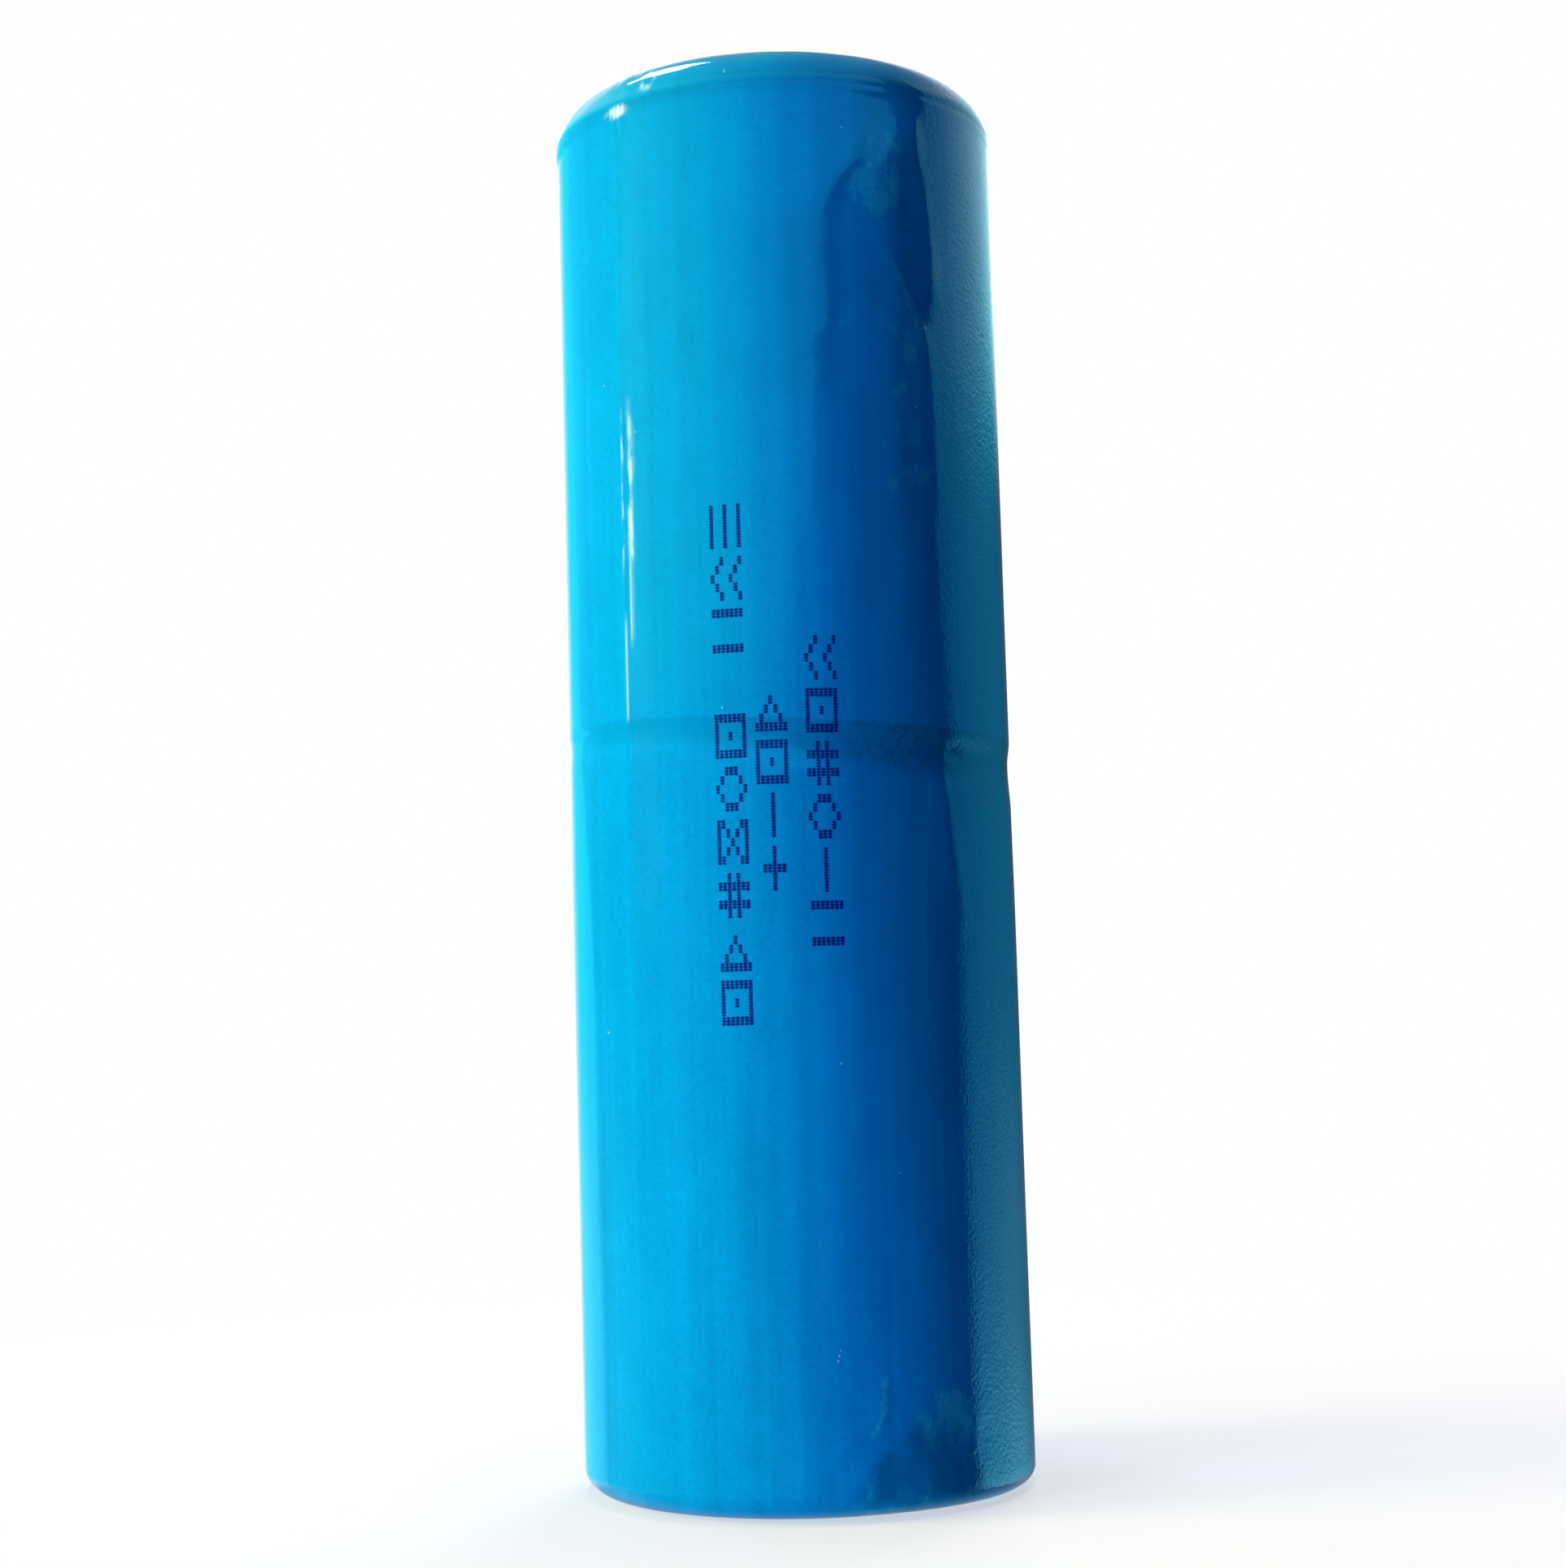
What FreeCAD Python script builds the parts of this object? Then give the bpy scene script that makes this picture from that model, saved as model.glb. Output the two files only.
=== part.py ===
"""Cylindrical battery: two wound cells in series inside one heat-shrink sleeve.

The part stands on its negative contact. Its origin is the centre of that contact's face, +Z runs
up the axis to the positive contact, and every length is in millimetres.
"""
import FreeCAD
import Part
import math
import os

# Clearances
fit = 0.05                      # between pieces that lie against each other
ring_clearance = 0.15           # radial, between a moulding's spigot or pocket and its seat
hole_clearance = 0.3            # round a contact or ribbon that passes through a hole

# Drawn cans
can_diameter = 36.9
can_length = 52.8
can_wall = 0.45
can_floor = 0.5
can_corner_radius = 2.0
rim_chamfer = 0.15
vent_score_width = 0.35
vent_score_depth = 0.2
vent_score_inner = 1.5
vent_score_outer = 9.0

# Dished covers with the glass-to-metal seal
cover_recess = 1.2
cover_thickness = 1.0
cover_flange_wall = 0.6
cover_bend = 0.8
eyelet_radius = 5.0
eyelet_depth = 1.8
glass_radius = 3.6
glass_meniscus = 0.12
pin_radius = 1.2
pin_standout = 0.75
pin_drop = 2.4
pin_chamfer = 0.2

# Wound rolls
roll_core_radius = 3.0          # smallest open core that the mandrel leaves
cathode_thickness = 1.1
lithium_thickness = 0.4
film_thickness = 0.12           # separator between neighbouring turns
wrap_thickness = 0.25
insulator_thickness = 0.4
insulator_rim = 1.7             # from the can's inner wall to the top insulator's edge
tab_thickness = 0.2
tab_width = 4.0
tab_clearance = 0.3             # between the cathode tab's leaf and the insulator
tab_turn = 2                    # turn of the cathode strip that carries its tab
anode_tab_rise = 2.6
pad_hole_radius = 2.4

# Joint between the cells
disc_thickness = 0.65
disc_inset = 0.75               # from the can's side to the disc's edge
strap_thickness = 0.2
strap_width = 5.0
strap_reach = 6.0
strap_tail = 3.0
strap_bend = 0.22

# Upper end
ring_shoulder = 3.2
ring_foot_height = 0.45
ring_foot_overhang = 0.2
ring_bore_gap = 1.25            # between the nub's foot and the bore
ring_bore_chamfer = 0.6
ring_skin = 1.3                 # left over the cored pockets
ring_land = 1.4                 # left beside the cored pockets
ring_rib_count = 8
ring_rib_width = 1.2
washer_thickness = 0.6
washer_hole_radius = 3.2
contact_sheet = 0.4
brim_radius = 8.5
nub_radius = 4.5
nub_draft = 0.25
nub_edge_radius = 0.7
positive_standout = 1.2         # above the sleeve's upper edge
lead_width = 3.0
lead_tail = 2.0
lead_bend = 0.4

# Lower end
spacer_height = 6.35
spacer_wall = 1.4
spacer_floor = 1.2
spacer_corner_radius = 1.6
hub_wall = 1.2
spacer_rib_count = 8
spacer_rib_width = 1.2
lug_count = 4
lug_width = 3.0
lug_length = 0.9
lug_height = 0.8
flange_radius = 13.0
boss_radius = 10.0
boss_draft = 0.4
boss_edge_radius = 0.5
negative_standout = 0.3         # below the sleeve's lower edge
fuse_radius = 1.6
fuse_length = 8.0
fuse_end_radius = 0.4
fuse_lead_inset = 2.0           # from the boss's inner wall to the lead's fold
fuse_lead_return = 4.4

# Heat-shrink sleeve
sleeve_wall = 0.3
sleeve_fold = 2.15              # film that lies flat on the ring, inside its shoulder
joint_groove_depth = 0.28
foot_flare = 1.3                # height over which the film widens to the ring's foot

# Stack, from the negative contact's face up
sleeve_bottom = negative_standout
spacer_bottom = sleeve_bottom + sleeve_wall + fit
spacer_top = spacer_bottom + spacer_height
lower_bottom = spacer_top + fit
lower_rim = lower_bottom + can_length
disc_bottom = lower_rim + fit
upper_bottom = disc_bottom + disc_thickness + fit
upper_rim = upper_bottom + can_length
ring_bottom = upper_rim + fit
foot_top = ring_bottom + ring_foot_height
ring_top = foot_top + fit + ring_shoulder
sleeve_top = ring_top + fit + sleeve_wall
positive_top = sleeve_top + positive_standout

# Radii that follow from the can
can_radius = can_diameter / 2
can_inner_radius = can_radius - can_wall
inner_corner_radius = can_corner_radius - can_wall
flange_inner_radius = can_inner_radius - fit - cover_flange_wall
foot_radius = can_radius + ring_foot_overhang
sleeve_lip_radius = can_radius - ring_shoulder - sleeve_fold
ring_bore_radius = nub_radius + nub_draft + ring_bore_gap

# Roll: as many whole turns as the can takes, wound outwards from the core
wrap_radius = can_inner_radius - fit - tab_thickness - fit
roll_radius = wrap_radius - wrap_thickness - fit
pitch = cathode_thickness + lithium_thickness + 2 * film_thickness
turns = int((roll_radius - roll_core_radius) / pitch) - 1
first_radius = roll_radius - (turns + 1) * pitch


def vector(x, z):
    """Point in the XZ plane."""
    return FreeCAD.Vector(x, 0, z)


def outline_edges(corners, closed=True):
    """Edges through (x, z) or (x, z, radius) corners; a radius rounds its corner with an arc."""
    count = len(corners)
    entries = []
    for index, corner in enumerate(corners):
        point = vector(corner[0], corner[1])
        radius = corner[2] if len(corner) > 2 else 0
        if radius <= 0:
            entries.append((point, None, point))
            continue
        before = (vector(*corners[index - 1][:2]) - point).normalize()
        after = (vector(*corners[(index + 1) % count][:2]) - point).normalize()
        half = before.getAngle(after) / 2
        reach = radius / math.tan(half)
        middle = (before + after).normalize() * (radius / math.sin(half) - radius)
        entries.append((point + before * reach, point + middle, point + after * reach))
    edges = []
    for index, (start, middle, end) in enumerate(entries):
        if middle is not None:
            edges.append(Part.Arc(start, middle, end).toShape())
        if index == count - 1 and not closed:
            break
        following = entries[(index + 1) % count][0]
        if (following - end).Length > 1e-6:
            edges.append(Part.LineSegment(end, following).toShape())
    return edges


def turned(corners):
    """Solid of revolution about the Z axis from a closed outline of radius and height."""
    face = Part.Face(Part.Wire(outline_edges(corners)))
    return face.revolve(FreeCAD.Vector(0, 0, 0), FreeCAD.Vector(0, 0, 1), 360)


def disc(radius, bottom, height, hole=0):
    """Flat disc or washer on the axis."""
    solid = Part.makeCylinder(radius, height, FreeCAD.Vector(0, 0, bottom))
    if hole > 0:
        solid = solid.cut(Part.makeCylinder(hole, height, FreeCAD.Vector(0, 0, bottom)))
    return solid


def block(x0, x1, width, z0, z1):
    """Box from x0 to x1 and z0 to z1, centred on y = 0."""
    return Part.makeBox(x1 - x0, width, z1 - z0, FreeCAD.Vector(x0, -width / 2, z0))


def around(shape, count, start=0):
    """Copies of a shape spaced evenly round the axis."""
    origin = FreeCAD.Vector(0, 0, 0)
    axis = FreeCAD.Vector(0, 0, 1)
    copies = []
    for index in range(count):
        copy = shape.copy()
        copy.rotate(origin, axis, start + 360 * index / count)
        copies.append(copy)
    return copies


def ribbon(path, thickness, width, bend):
    """Flat metal ribbon folded along a path of (x, z) points, with bends of one inner radius."""
    points = [vector(*point) for point in path]
    sides = ([], [])
    for index, point in enumerate(points):
        before = (point - points[index - 1]).normalize() if index > 0 else None
        after = (points[index + 1] - point).normalize() if index < len(points) - 1 else None
        heading = after if before is None else before
        normal = vector(-heading.z, heading.x)
        if before is None or after is None:
            miter = normal
            turn = 0
        else:
            other = vector(-after.z, after.x)
            miter = (normal + other) / (1 + normal.dot(other))
            turn = before.x * after.z - before.z * after.x
        for side, sign in zip(sides, (1, -1)):
            corner = point + miter * (sign * thickness / 2)
            inner = turn * sign > 0
            radius = 0 if turn == 0 else (bend if inner else bend + thickness)
            side.append((corner.x, corner.z, radius))
    face = Part.Face(Part.Wire(outline_edges(sides[0] + sides[1][::-1])))
    face.translate(FreeCAD.Vector(0, -width / 2, 0))
    return face.extrude(FreeCAD.Vector(0, width, 0))


def spiral_strip(start_radius, thickness, bottom, height):
    """Wound strip: half turns about two centres, so that each meets the next without a corner."""
    step = pitch / 2
    sides = ([], [])
    for half_turn in range(2 * turns):
        odd = half_turn % 2
        centre = FreeCAD.Vector(step * odd, 0, bottom)
        direction = -1 if odd else 1
        for side, offset in zip(sides, (0, thickness)):
            radius = start_radius + offset + half_turn * step
            start = centre + FreeCAD.Vector(radius * direction, 0, 0)
            middle = centre + FreeCAD.Vector(0, radius * direction, 0)
            end = centre - FreeCAD.Vector(radius * direction, 0, 0)
            side.append(Part.Arc(start, middle, end).toShape())
    inner, outer = sides
    ends = [
        Part.LineSegment(inner[0].Vertexes[0].Point, outer[0].Vertexes[0].Point).toShape(),
        Part.LineSegment(inner[-1].Vertexes[-1].Point, outer[-1].Vertexes[-1].Point).toShape(),
    ]
    wire = Part.Wire(inner + [ends[1]] + outer[::-1] + [ends[0]])
    return Part.Face(wire).extrude(FreeCAD.Vector(0, 0, height))


def can(bottom):
    """Drawn steel can, with a three-rayed vent score pressed into its bottom."""
    rim = bottom + can_length
    shell = turned([
        (0, bottom),
        (can_radius, bottom, can_corner_radius),
        (can_radius, rim - rim_chamfer),
        (can_radius - rim_chamfer, rim),
        (can_inner_radius, rim),
        (can_inner_radius, bottom + can_floor, inner_corner_radius),
        (0, bottom + can_floor),
    ])
    ray = block(vent_score_inner, vent_score_outer, vent_score_width, bottom, bottom + vent_score_depth)
    return shell.cut(around(ray, 3, 90))


def cover(rim):
    """Dished cover, welded at its flange to the can's rim, with an eyelet for the glass."""
    top = rim - cover_recess
    under = top - cover_thickness
    outer = can_inner_radius - fit
    hole = glass_radius + fit
    return turned([
        (hole, top),
        (flange_inner_radius, top, cover_bend / 2),
        (flange_inner_radius, rim),
        (outer, rim),
        (outer, under, cover_bend),
        (eyelet_radius, under),
        (eyelet_radius, top - eyelet_depth),
        (hole, top - eyelet_depth),
    ])


def glass_seal(rim):
    """Glass bead between the eyelet and the pin, drawn up a little where it wets the metal."""
    top = rim - cover_recess
    bore = pin_radius + fit
    middle = (bore + glass_radius) / 2
    return turned([
        (bore, top),
        (middle, top - glass_meniscus),
        (glass_radius, top),
        (glass_radius, top - eyelet_depth),
        (bore, top - eyelet_depth),
    ])


def center_pin(rim):
    """Positive pin, held by the glass."""
    top = rim - cover_recess + pin_standout
    low = pin_low(rim)
    return turned([
        (0, low),
        (pin_radius - pin_chamfer, low),
        (pin_radius, low + pin_chamfer),
        (pin_radius, top - pin_chamfer),
        (pin_radius - pin_chamfer, top),
        (0, top),
    ])


def pin_low(rim):
    """Height of the pin's lower end, inside the can with this rim."""
    return rim - cover_recess - cover_thickness - pin_drop


def roll_span(bottom):
    """Bottom and top of the wound roll in the can that stands at this height. The anode tab, the
    top insulator and the cathode tab lie in turn between the roll and the pin."""
    low = bottom + can_floor + inner_corner_radius
    header = 2 * (tab_thickness + fit) + insulator_thickness + tab_clearance + fit
    return low, pin_low(bottom + can_length) - header


def cathode_tab(bottom):
    """Aluminium tab from the cathode strip's upper edge to the pin's lower end."""
    roll_top = roll_span(bottom)[1]
    foot_x = first_radius + tab_turn * pitch + cathode_thickness / 2
    leaf = pin_low(bottom + can_length) - fit - tab_thickness / 2
    path = [(foot_x, roll_top + fit), (foot_x, leaf), (-pin_radius, leaf)]
    return ribbon(path, tab_thickness, tab_width, tab_thickness)


def anode_tab(bottom):
    """Nickel tab from the lithium strip's outer end over the wrap and up the can's wall."""
    roll_top = roll_span(bottom)[1]
    leaf = roll_top + fit + tab_thickness / 2
    wall_x = math.sqrt(can_inner_radius ** 2 - (tab_width / 2) ** 2) - fit - tab_thickness / 2
    path = [(roll_radius - lithium_thickness - film_thickness, leaf), (wall_x, leaf),
            (wall_x, leaf + anode_tab_rise)]
    return ribbon(path, tab_thickness, tab_width, tab_thickness)


def top_insulator(bottom):
    """Polypropylene disc over the roll, slotted for the cathode tab."""
    low = roll_span(bottom)[1] + fit + tab_thickness + fit
    plate = disc(can_inner_radius - insulator_rim, low, insulator_thickness, pin_radius + hole_clearance)
    foot_x = first_radius + tab_turn * pitch + cathode_thickness / 2
    half = tab_thickness / 2 + hole_clearance
    slot = block(foot_x - half, foot_x + half, tab_width + 2 * hole_clearance, low, low + insulator_thickness)
    return plate.cut(slot)


def base_pad(bottom):
    """Pad that carries the roll above the can's rounded corner."""
    low = bottom + can_floor + fit
    height = inner_corner_radius - 2 * fit
    return disc(can_inner_radius - inner_corner_radius, low, height, pad_hole_radius)


def separator_wrap(bottom):
    """Outer turns of separator, closed round the roll."""
    low, high = roll_span(bottom)
    return disc(wrap_radius, low, high - low, wrap_radius - wrap_thickness)


def cathode_strip(bottom):
    low, high = roll_span(bottom)
    return spiral_strip(first_radius, cathode_thickness, low, high - low)


def lithium_strip(bottom):
    low, high = roll_span(bottom)
    start = first_radius + cathode_thickness + film_thickness
    return spiral_strip(start, lithium_thickness, low, high - low)


def wound_roll(bottom):
    """The whole roll as one solid round its open core."""
    low, high = roll_span(bottom)
    return disc(roll_radius, low, high - low, first_radius)


def intercell_disc():
    """Fibre disc that keeps the upper can off the lower one's rim, open for the strap."""
    hole = math.hypot(strap_reach + strap_thickness, strap_width / 2) + hole_clearance
    return disc(can_radius - disc_inset, disc_bottom, disc_thickness, hole)


def series_strap():
    """Folded ribbon from the lower pin to the upper can's bottom."""
    low = lower_rim - cover_recess + pin_standout + fit + strap_thickness / 2
    high = upper_bottom - fit - strap_thickness / 2
    path = [(-strap_tail, low), (strap_reach, low), (strap_reach, high), (-strap_tail, high)]
    return ribbon(path, strap_thickness, strap_width, strap_bend)


washer_bottom = upper_rim - cover_recess + fit
brim_bottom = washer_bottom + washer_thickness + fit


def positive_washer():
    """Fibre washer between the live cap and the cover, inside the cover's flange."""
    radius = flange_inner_radius - cover_bend / 2 - fit
    return disc(radius, washer_bottom, washer_thickness, washer_hole_radius)


def positive_contact():
    """Drawn cap: a nub through the ring's bore, and a brim that the ring holds down."""
    sheet = contact_sheet
    foot = nub_radius + nub_draft
    return turned([
        (0, positive_top),
        (nub_radius, positive_top, nub_edge_radius),
        (foot, brim_bottom + sheet, sheet),
        (brim_radius, brim_bottom + sheet),
        (brim_radius, brim_bottom),
        (foot - sheet, brim_bottom, 2 * sheet),
        (nub_radius - sheet, positive_top - sheet, nub_edge_radius - sheet),
        (0, positive_top - sheet),
    ])


def positive_lead():
    """Folded ribbon from the upper pin to the cap's inside."""
    low = upper_rim - cover_recess + pin_standout + fit + strap_thickness / 2
    high = positive_top - contact_sheet - fit - strap_thickness / 2
    room = nub_radius - contact_sheet - hole_clearance
    reach = math.sqrt(room ** 2 - (lead_width / 2) ** 2) - strap_thickness / 2
    path = [(-lead_tail, low), (reach, low), (reach, high), (-lead_tail, high)]
    return ribbon(path, strap_thickness, lead_width, lead_bend)


def top_ring():
    """Moulded shoulder ring: a foot on the can's rim, a spigot inside the cover's flange, a
    pocket for the cap's brim, and cored pockets between ribs on the under side."""
    spigot_radius = flange_inner_radius - ring_clearance
    spigot_bottom = washer_bottom + washer_thickness + fit
    pocket_radius = brim_radius + ring_clearance
    pocket_top = brim_bottom + contact_sheet + fit
    foot_chamfer = ring_foot_overhang
    body = turned([
        (ring_bore_radius, pocket_top),
        (ring_bore_radius, ring_top - ring_bore_chamfer),
        (ring_bore_radius + ring_bore_chamfer, ring_top),
        (can_radius, ring_top, ring_shoulder),
        (can_radius, foot_top),
        (foot_radius, foot_top - foot_chamfer),
        (foot_radius, ring_bottom),
        (spigot_radius, ring_bottom),
        (spigot_radius, spigot_bottom),
        (pocket_radius, spigot_bottom),
        (pocket_radius, pocket_top),
    ])
    core_inner = pocket_radius + ring_land
    core_outer = spigot_radius - ring_land
    core = disc(core_outer, spigot_bottom, ring_top - ring_skin - spigot_bottom, core_inner)
    rib = block(core_inner - ring_land / 2, core_outer + ring_land / 2, ring_rib_width,
                spigot_bottom, ring_top - ring_skin)
    return body.cut(core.cut(around(rib, ring_rib_count)))


flange_bottom = spacer_bottom + spacer_floor + fit
hub_inner_radius = flange_radius + hole_clearance


def end_spacer():
    """Moulded cup under the lower can: a floor with the contact's opening, a ribbed hub that
    carries the can, and snap lugs that hold the contact's flange down."""
    opening = boss_radius + boss_draft + hole_clearance
    floor_top = spacer_bottom + spacer_floor
    hub_outer = hub_inner_radius + hub_wall
    wall_inner = can_radius - spacer_wall
    body = turned([
        (opening, spacer_bottom),
        (can_radius, spacer_bottom, spacer_corner_radius),
        (can_radius, spacer_top),
        (wall_inner, spacer_top),
        (wall_inner, floor_top),
        (hub_outer, floor_top),
        (hub_outer, spacer_top),
        (hub_inner_radius, spacer_top),
        (hub_inner_radius, floor_top),
        (opening, floor_top),
    ])
    overlap = hub_wall / 2
    rib = block(hub_outer - overlap, wall_inner + overlap, spacer_rib_width, floor_top - overlap, spacer_top)
    lug_bottom = flange_bottom + contact_sheet + fit
    lug = block(hub_inner_radius - lug_length, hub_inner_radius + overlap, lug_width,
                lug_bottom, lug_bottom + lug_height)
    ribs = around(rib, spacer_rib_count)
    lugs = around(lug, lug_count, 180 / lug_count)
    return body.fuse(ribs + lugs).removeSplitter()


def negative_contact():
    """Drawn contact disc: a flange on the spacer's floor and a boss down through its opening."""
    sheet = contact_sheet
    foot = boss_radius + boss_draft
    return turned([
        (0, 0),
        (boss_radius, 0, boss_edge_radius),
        (foot, flange_bottom, sheet / 2),
        (flange_radius, flange_bottom),
        (flange_radius, flange_bottom + sheet),
        (foot - sheet, flange_bottom + sheet, 1.5 * sheet),
        (boss_radius - sheet, sheet, boss_edge_radius / 2),
        (0, sheet),
    ])


fuse_z = (contact_sheet + lower_bottom) / 2


def thermal_fuse():
    """Axial thermal fuse lying across the spacer."""
    half = fuse_length / 2
    start = FreeCAD.Vector(-half, 0, fuse_z)
    body = Part.makeCylinder(fuse_radius, fuse_length, start, FreeCAD.Vector(1, 0, 0))
    rims = [edge for edge in body.Edges if len(edge.Vertexes) == 1]
    return body.makeFillet(fuse_end_radius, rims)


def fuse_lead(direction, leaf):
    """Flat lead from one end of the fuse, folded back along the metal that it is welded to."""
    near = fuse_length / 2 + fit
    far = boss_radius - contact_sheet - fuse_lead_inset
    path = [(near, fuse_z), (far, fuse_z), (far, leaf), (far - fuse_lead_return, leaf)]
    path = [(direction * x, z) for x, z in path]
    return ribbon(path, strap_thickness, lead_width, lead_bend)


def sleeve_side(offset):
    """One side of the film, at this distance from the pieces that it is shrunk on."""
    wall = can_radius + offset
    joint = (lower_rim + upper_bottom) / 2
    return [
        (sleeve_lip_radius, spacer_bottom - offset),
        (wall, spacer_bottom - offset, spacer_corner_radius + offset),
        (wall, lower_rim + fit),
        (wall - joint_groove_depth, joint),
        (wall, upper_bottom + can_corner_radius),
        (wall, upper_rim - foot_flare),
        (foot_radius + offset, upper_rim),
        (foot_radius + offset, foot_top - ring_foot_overhang + fit),
        (wall, foot_top + fit),
        (wall, ring_top + offset, ring_shoulder + offset),
        (sleeve_lip_radius, ring_top + offset),
    ]


def outer_sleeve():
    """Film tube shrunk over the stack and folded in over both ends."""
    return turned(sleeve_side(fit + sleeve_wall) + sleeve_side(fit)[::-1])


nodes = {
    "outer_sleeve": outer_sleeve(),
    "top_ring": top_ring(),
    "positive_contact": positive_contact(),
    "positive_lead": positive_lead(),
    "positive_washer": positive_washer(),
    "intercell_disc": intercell_disc(),
    "series_strap": series_strap(),
    "end_spacer": end_spacer(),
    "negative_contact": negative_contact(),
    "thermal_fuse": thermal_fuse(),
    "fuse_can_lead": fuse_lead(1, lower_bottom - fit - strap_thickness / 2),
    "fuse_contact_lead": fuse_lead(-1, contact_sheet + fit + strap_thickness / 2),
}
for cell, cell_bottom in (("lower", lower_bottom), ("upper", upper_bottom)):
    cell_rim = cell_bottom + can_length
    nodes[cell + "_can"] = can(cell_bottom)
    nodes[cell + "_cover"] = cover(cell_rim)
    nodes[cell + "_glass_seal"] = glass_seal(cell_rim)
    nodes[cell + "_center_pin"] = center_pin(cell_rim)
    nodes[cell + "_top_insulator"] = top_insulator(cell_bottom)
    nodes[cell + "_base_pad"] = base_pad(cell_bottom)
    nodes[cell + "_cathode_tab"] = cathode_tab(cell_bottom)
    nodes[cell + "_anode_tab"] = anode_tab(cell_bottom)
    nodes[cell + "_separator_wrap"] = separator_wrap(cell_bottom)
nodes["upper_cathode_strip"] = cathode_strip(upper_bottom)
nodes["upper_lithium_strip"] = lithium_strip(upper_bottom)
nodes["lower_wound_roll"] = wound_roll(lower_bottom)

os.makedirs("parts", exist_ok=True)
for name, shape in nodes.items():
    shape.exportStep("parts/" + name + ".step")
    print(name, "solids", len(shape.Solids), "valid", shape.isValid(), "volume", round(shape.Volume, 2))
print("turns", turns, "core radius", round(first_radius, 3), "top", round(positive_top, 3))
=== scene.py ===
"""Two-cell cylindrical battery: the shrunk film, its ink and dust, the finishes and the studio."""
import math
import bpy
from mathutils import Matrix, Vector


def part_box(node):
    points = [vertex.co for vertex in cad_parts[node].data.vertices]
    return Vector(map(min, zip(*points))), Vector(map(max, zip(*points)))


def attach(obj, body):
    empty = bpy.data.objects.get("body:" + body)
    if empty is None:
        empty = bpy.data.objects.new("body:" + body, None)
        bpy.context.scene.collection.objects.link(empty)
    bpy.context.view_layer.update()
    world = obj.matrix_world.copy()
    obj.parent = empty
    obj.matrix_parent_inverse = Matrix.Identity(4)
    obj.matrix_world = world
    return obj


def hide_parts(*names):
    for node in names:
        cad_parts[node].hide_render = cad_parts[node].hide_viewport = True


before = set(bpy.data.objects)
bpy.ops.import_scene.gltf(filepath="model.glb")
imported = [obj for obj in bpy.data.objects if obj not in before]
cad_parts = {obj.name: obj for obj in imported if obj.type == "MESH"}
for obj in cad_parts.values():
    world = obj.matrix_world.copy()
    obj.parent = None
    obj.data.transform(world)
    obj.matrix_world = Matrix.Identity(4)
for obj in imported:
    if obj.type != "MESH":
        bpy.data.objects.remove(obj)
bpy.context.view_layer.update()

from types import SimpleNamespace

import bmesh
import bpy
import numpy as np
from mathutils import Matrix, Vector

bl_info = {
    "name": "Cylindrical battery",
    "version": (1, 0, 0),
    "blender": (4, 5, 0),
    "location": "View3D > Sidebar > Battery",
    "description": "Builds a two-cell battery in a heat-shrink sleeve, with its finishes and studio",
    "category": "Object",
}

MM = 0.001
BODY = "root"

# Heights and radii that the solids settle
sleeve_low, sleeve_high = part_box("outer_sleeve")
upper_low, upper_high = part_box("upper_can")
ring_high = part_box("top_ring")[1]
spacer_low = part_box("end_spacer")[0]
lower_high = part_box("lower_can")[1]
CAN_RADIUS = lower_high.x
FOOT_RADIUS = min(sleeve_high.x, sleeve_high.y)

# The film's thickness as a solid, the gap inside it, its shoulder over the ring, and the crease below that
SOLID_FILM = 0.3 * MM
FILM_GAP = spacer_low.z - sleeve_low.z - SOLID_FILM
SHOULDER_WIDTH = 3.55 * MM
SHOULDER_HEIGHT = 3.5 * MM
CREASE_Z = sleeve_high.z - SHOULDER_HEIGHT


# ---------------------------------------------------------------- node helpers

def fill(tree, node, values):
    """Sets inputs of a node; each is a value, or a socket to link from."""
    for name, value in values.items():
        socket = node.inputs[name]
        if isinstance(value, bpy.types.NodeSocket):
            tree.links.new(value, socket)
        else:
            socket.default_value = value


def add(tree, kind, inputs=None, **settings):
    """One node with its settings and its inputs."""
    node = tree.nodes.new(kind)
    for name, value in settings.items():
        setattr(node, name, value)
    fill(tree, node, inputs or {})
    return node


def math_node(tree, operation, first, second=0.0, clamp=False):
    """Result of a sum on one or two values."""
    return add(tree, "ShaderNodeMath", {0: first, 1: second}, operation=operation, use_clamp=clamp).outputs[0]


def blank_material(name):
    """Node material with nothing in it; returns the material and its tree."""
    material = bpy.data.materials.new(name)
    material.use_nodes = True
    material.node_tree.nodes.clear()
    return material, material.node_tree


def new_material(name):
    """Node material with a Principled shader; returns the material, its tree and the shader."""
    material, tree = blank_material(name)
    shader = add(tree, "ShaderNodeBsdfPrincipled")
    add(tree, "ShaderNodeOutputMaterial", {"Surface": shader.outputs[0]})
    return material, tree, shader


def object_noise(tree, scale, stretch=(1, 1, 1), detail=2.0, roughness=0.5):
    """Noise over object coordinates, stretched along an axis by a smaller factor there."""
    coordinates = add(tree, "ShaderNodeTexCoord")
    mapping = add(tree, "ShaderNodeMapping", {"Vector": coordinates.outputs["Object"], "Scale": stretch})
    noise = add(tree, "ShaderNodeTexNoise", {
        "Vector": mapping.outputs[0], "Scale": scale, "Detail": detail, "Roughness": roughness})
    return noise.outputs["Fac"]


def remap(tree, value, low, high, to_low, to_high):
    """A value's range from low to high, brought to another range and held there."""
    return add(tree, "ShaderNodeMapRange", {
        "Value": value, "From Min": low, "From Max": high, "To Min": to_low, "To Max": to_high}).outputs[0]


def noise_to(tree, noise, low, high):
    """Noise, most of which lies between 0.3 and 0.7, brought to a range."""
    return remap(tree, noise, 0.3, 0.7, low, high)


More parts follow.
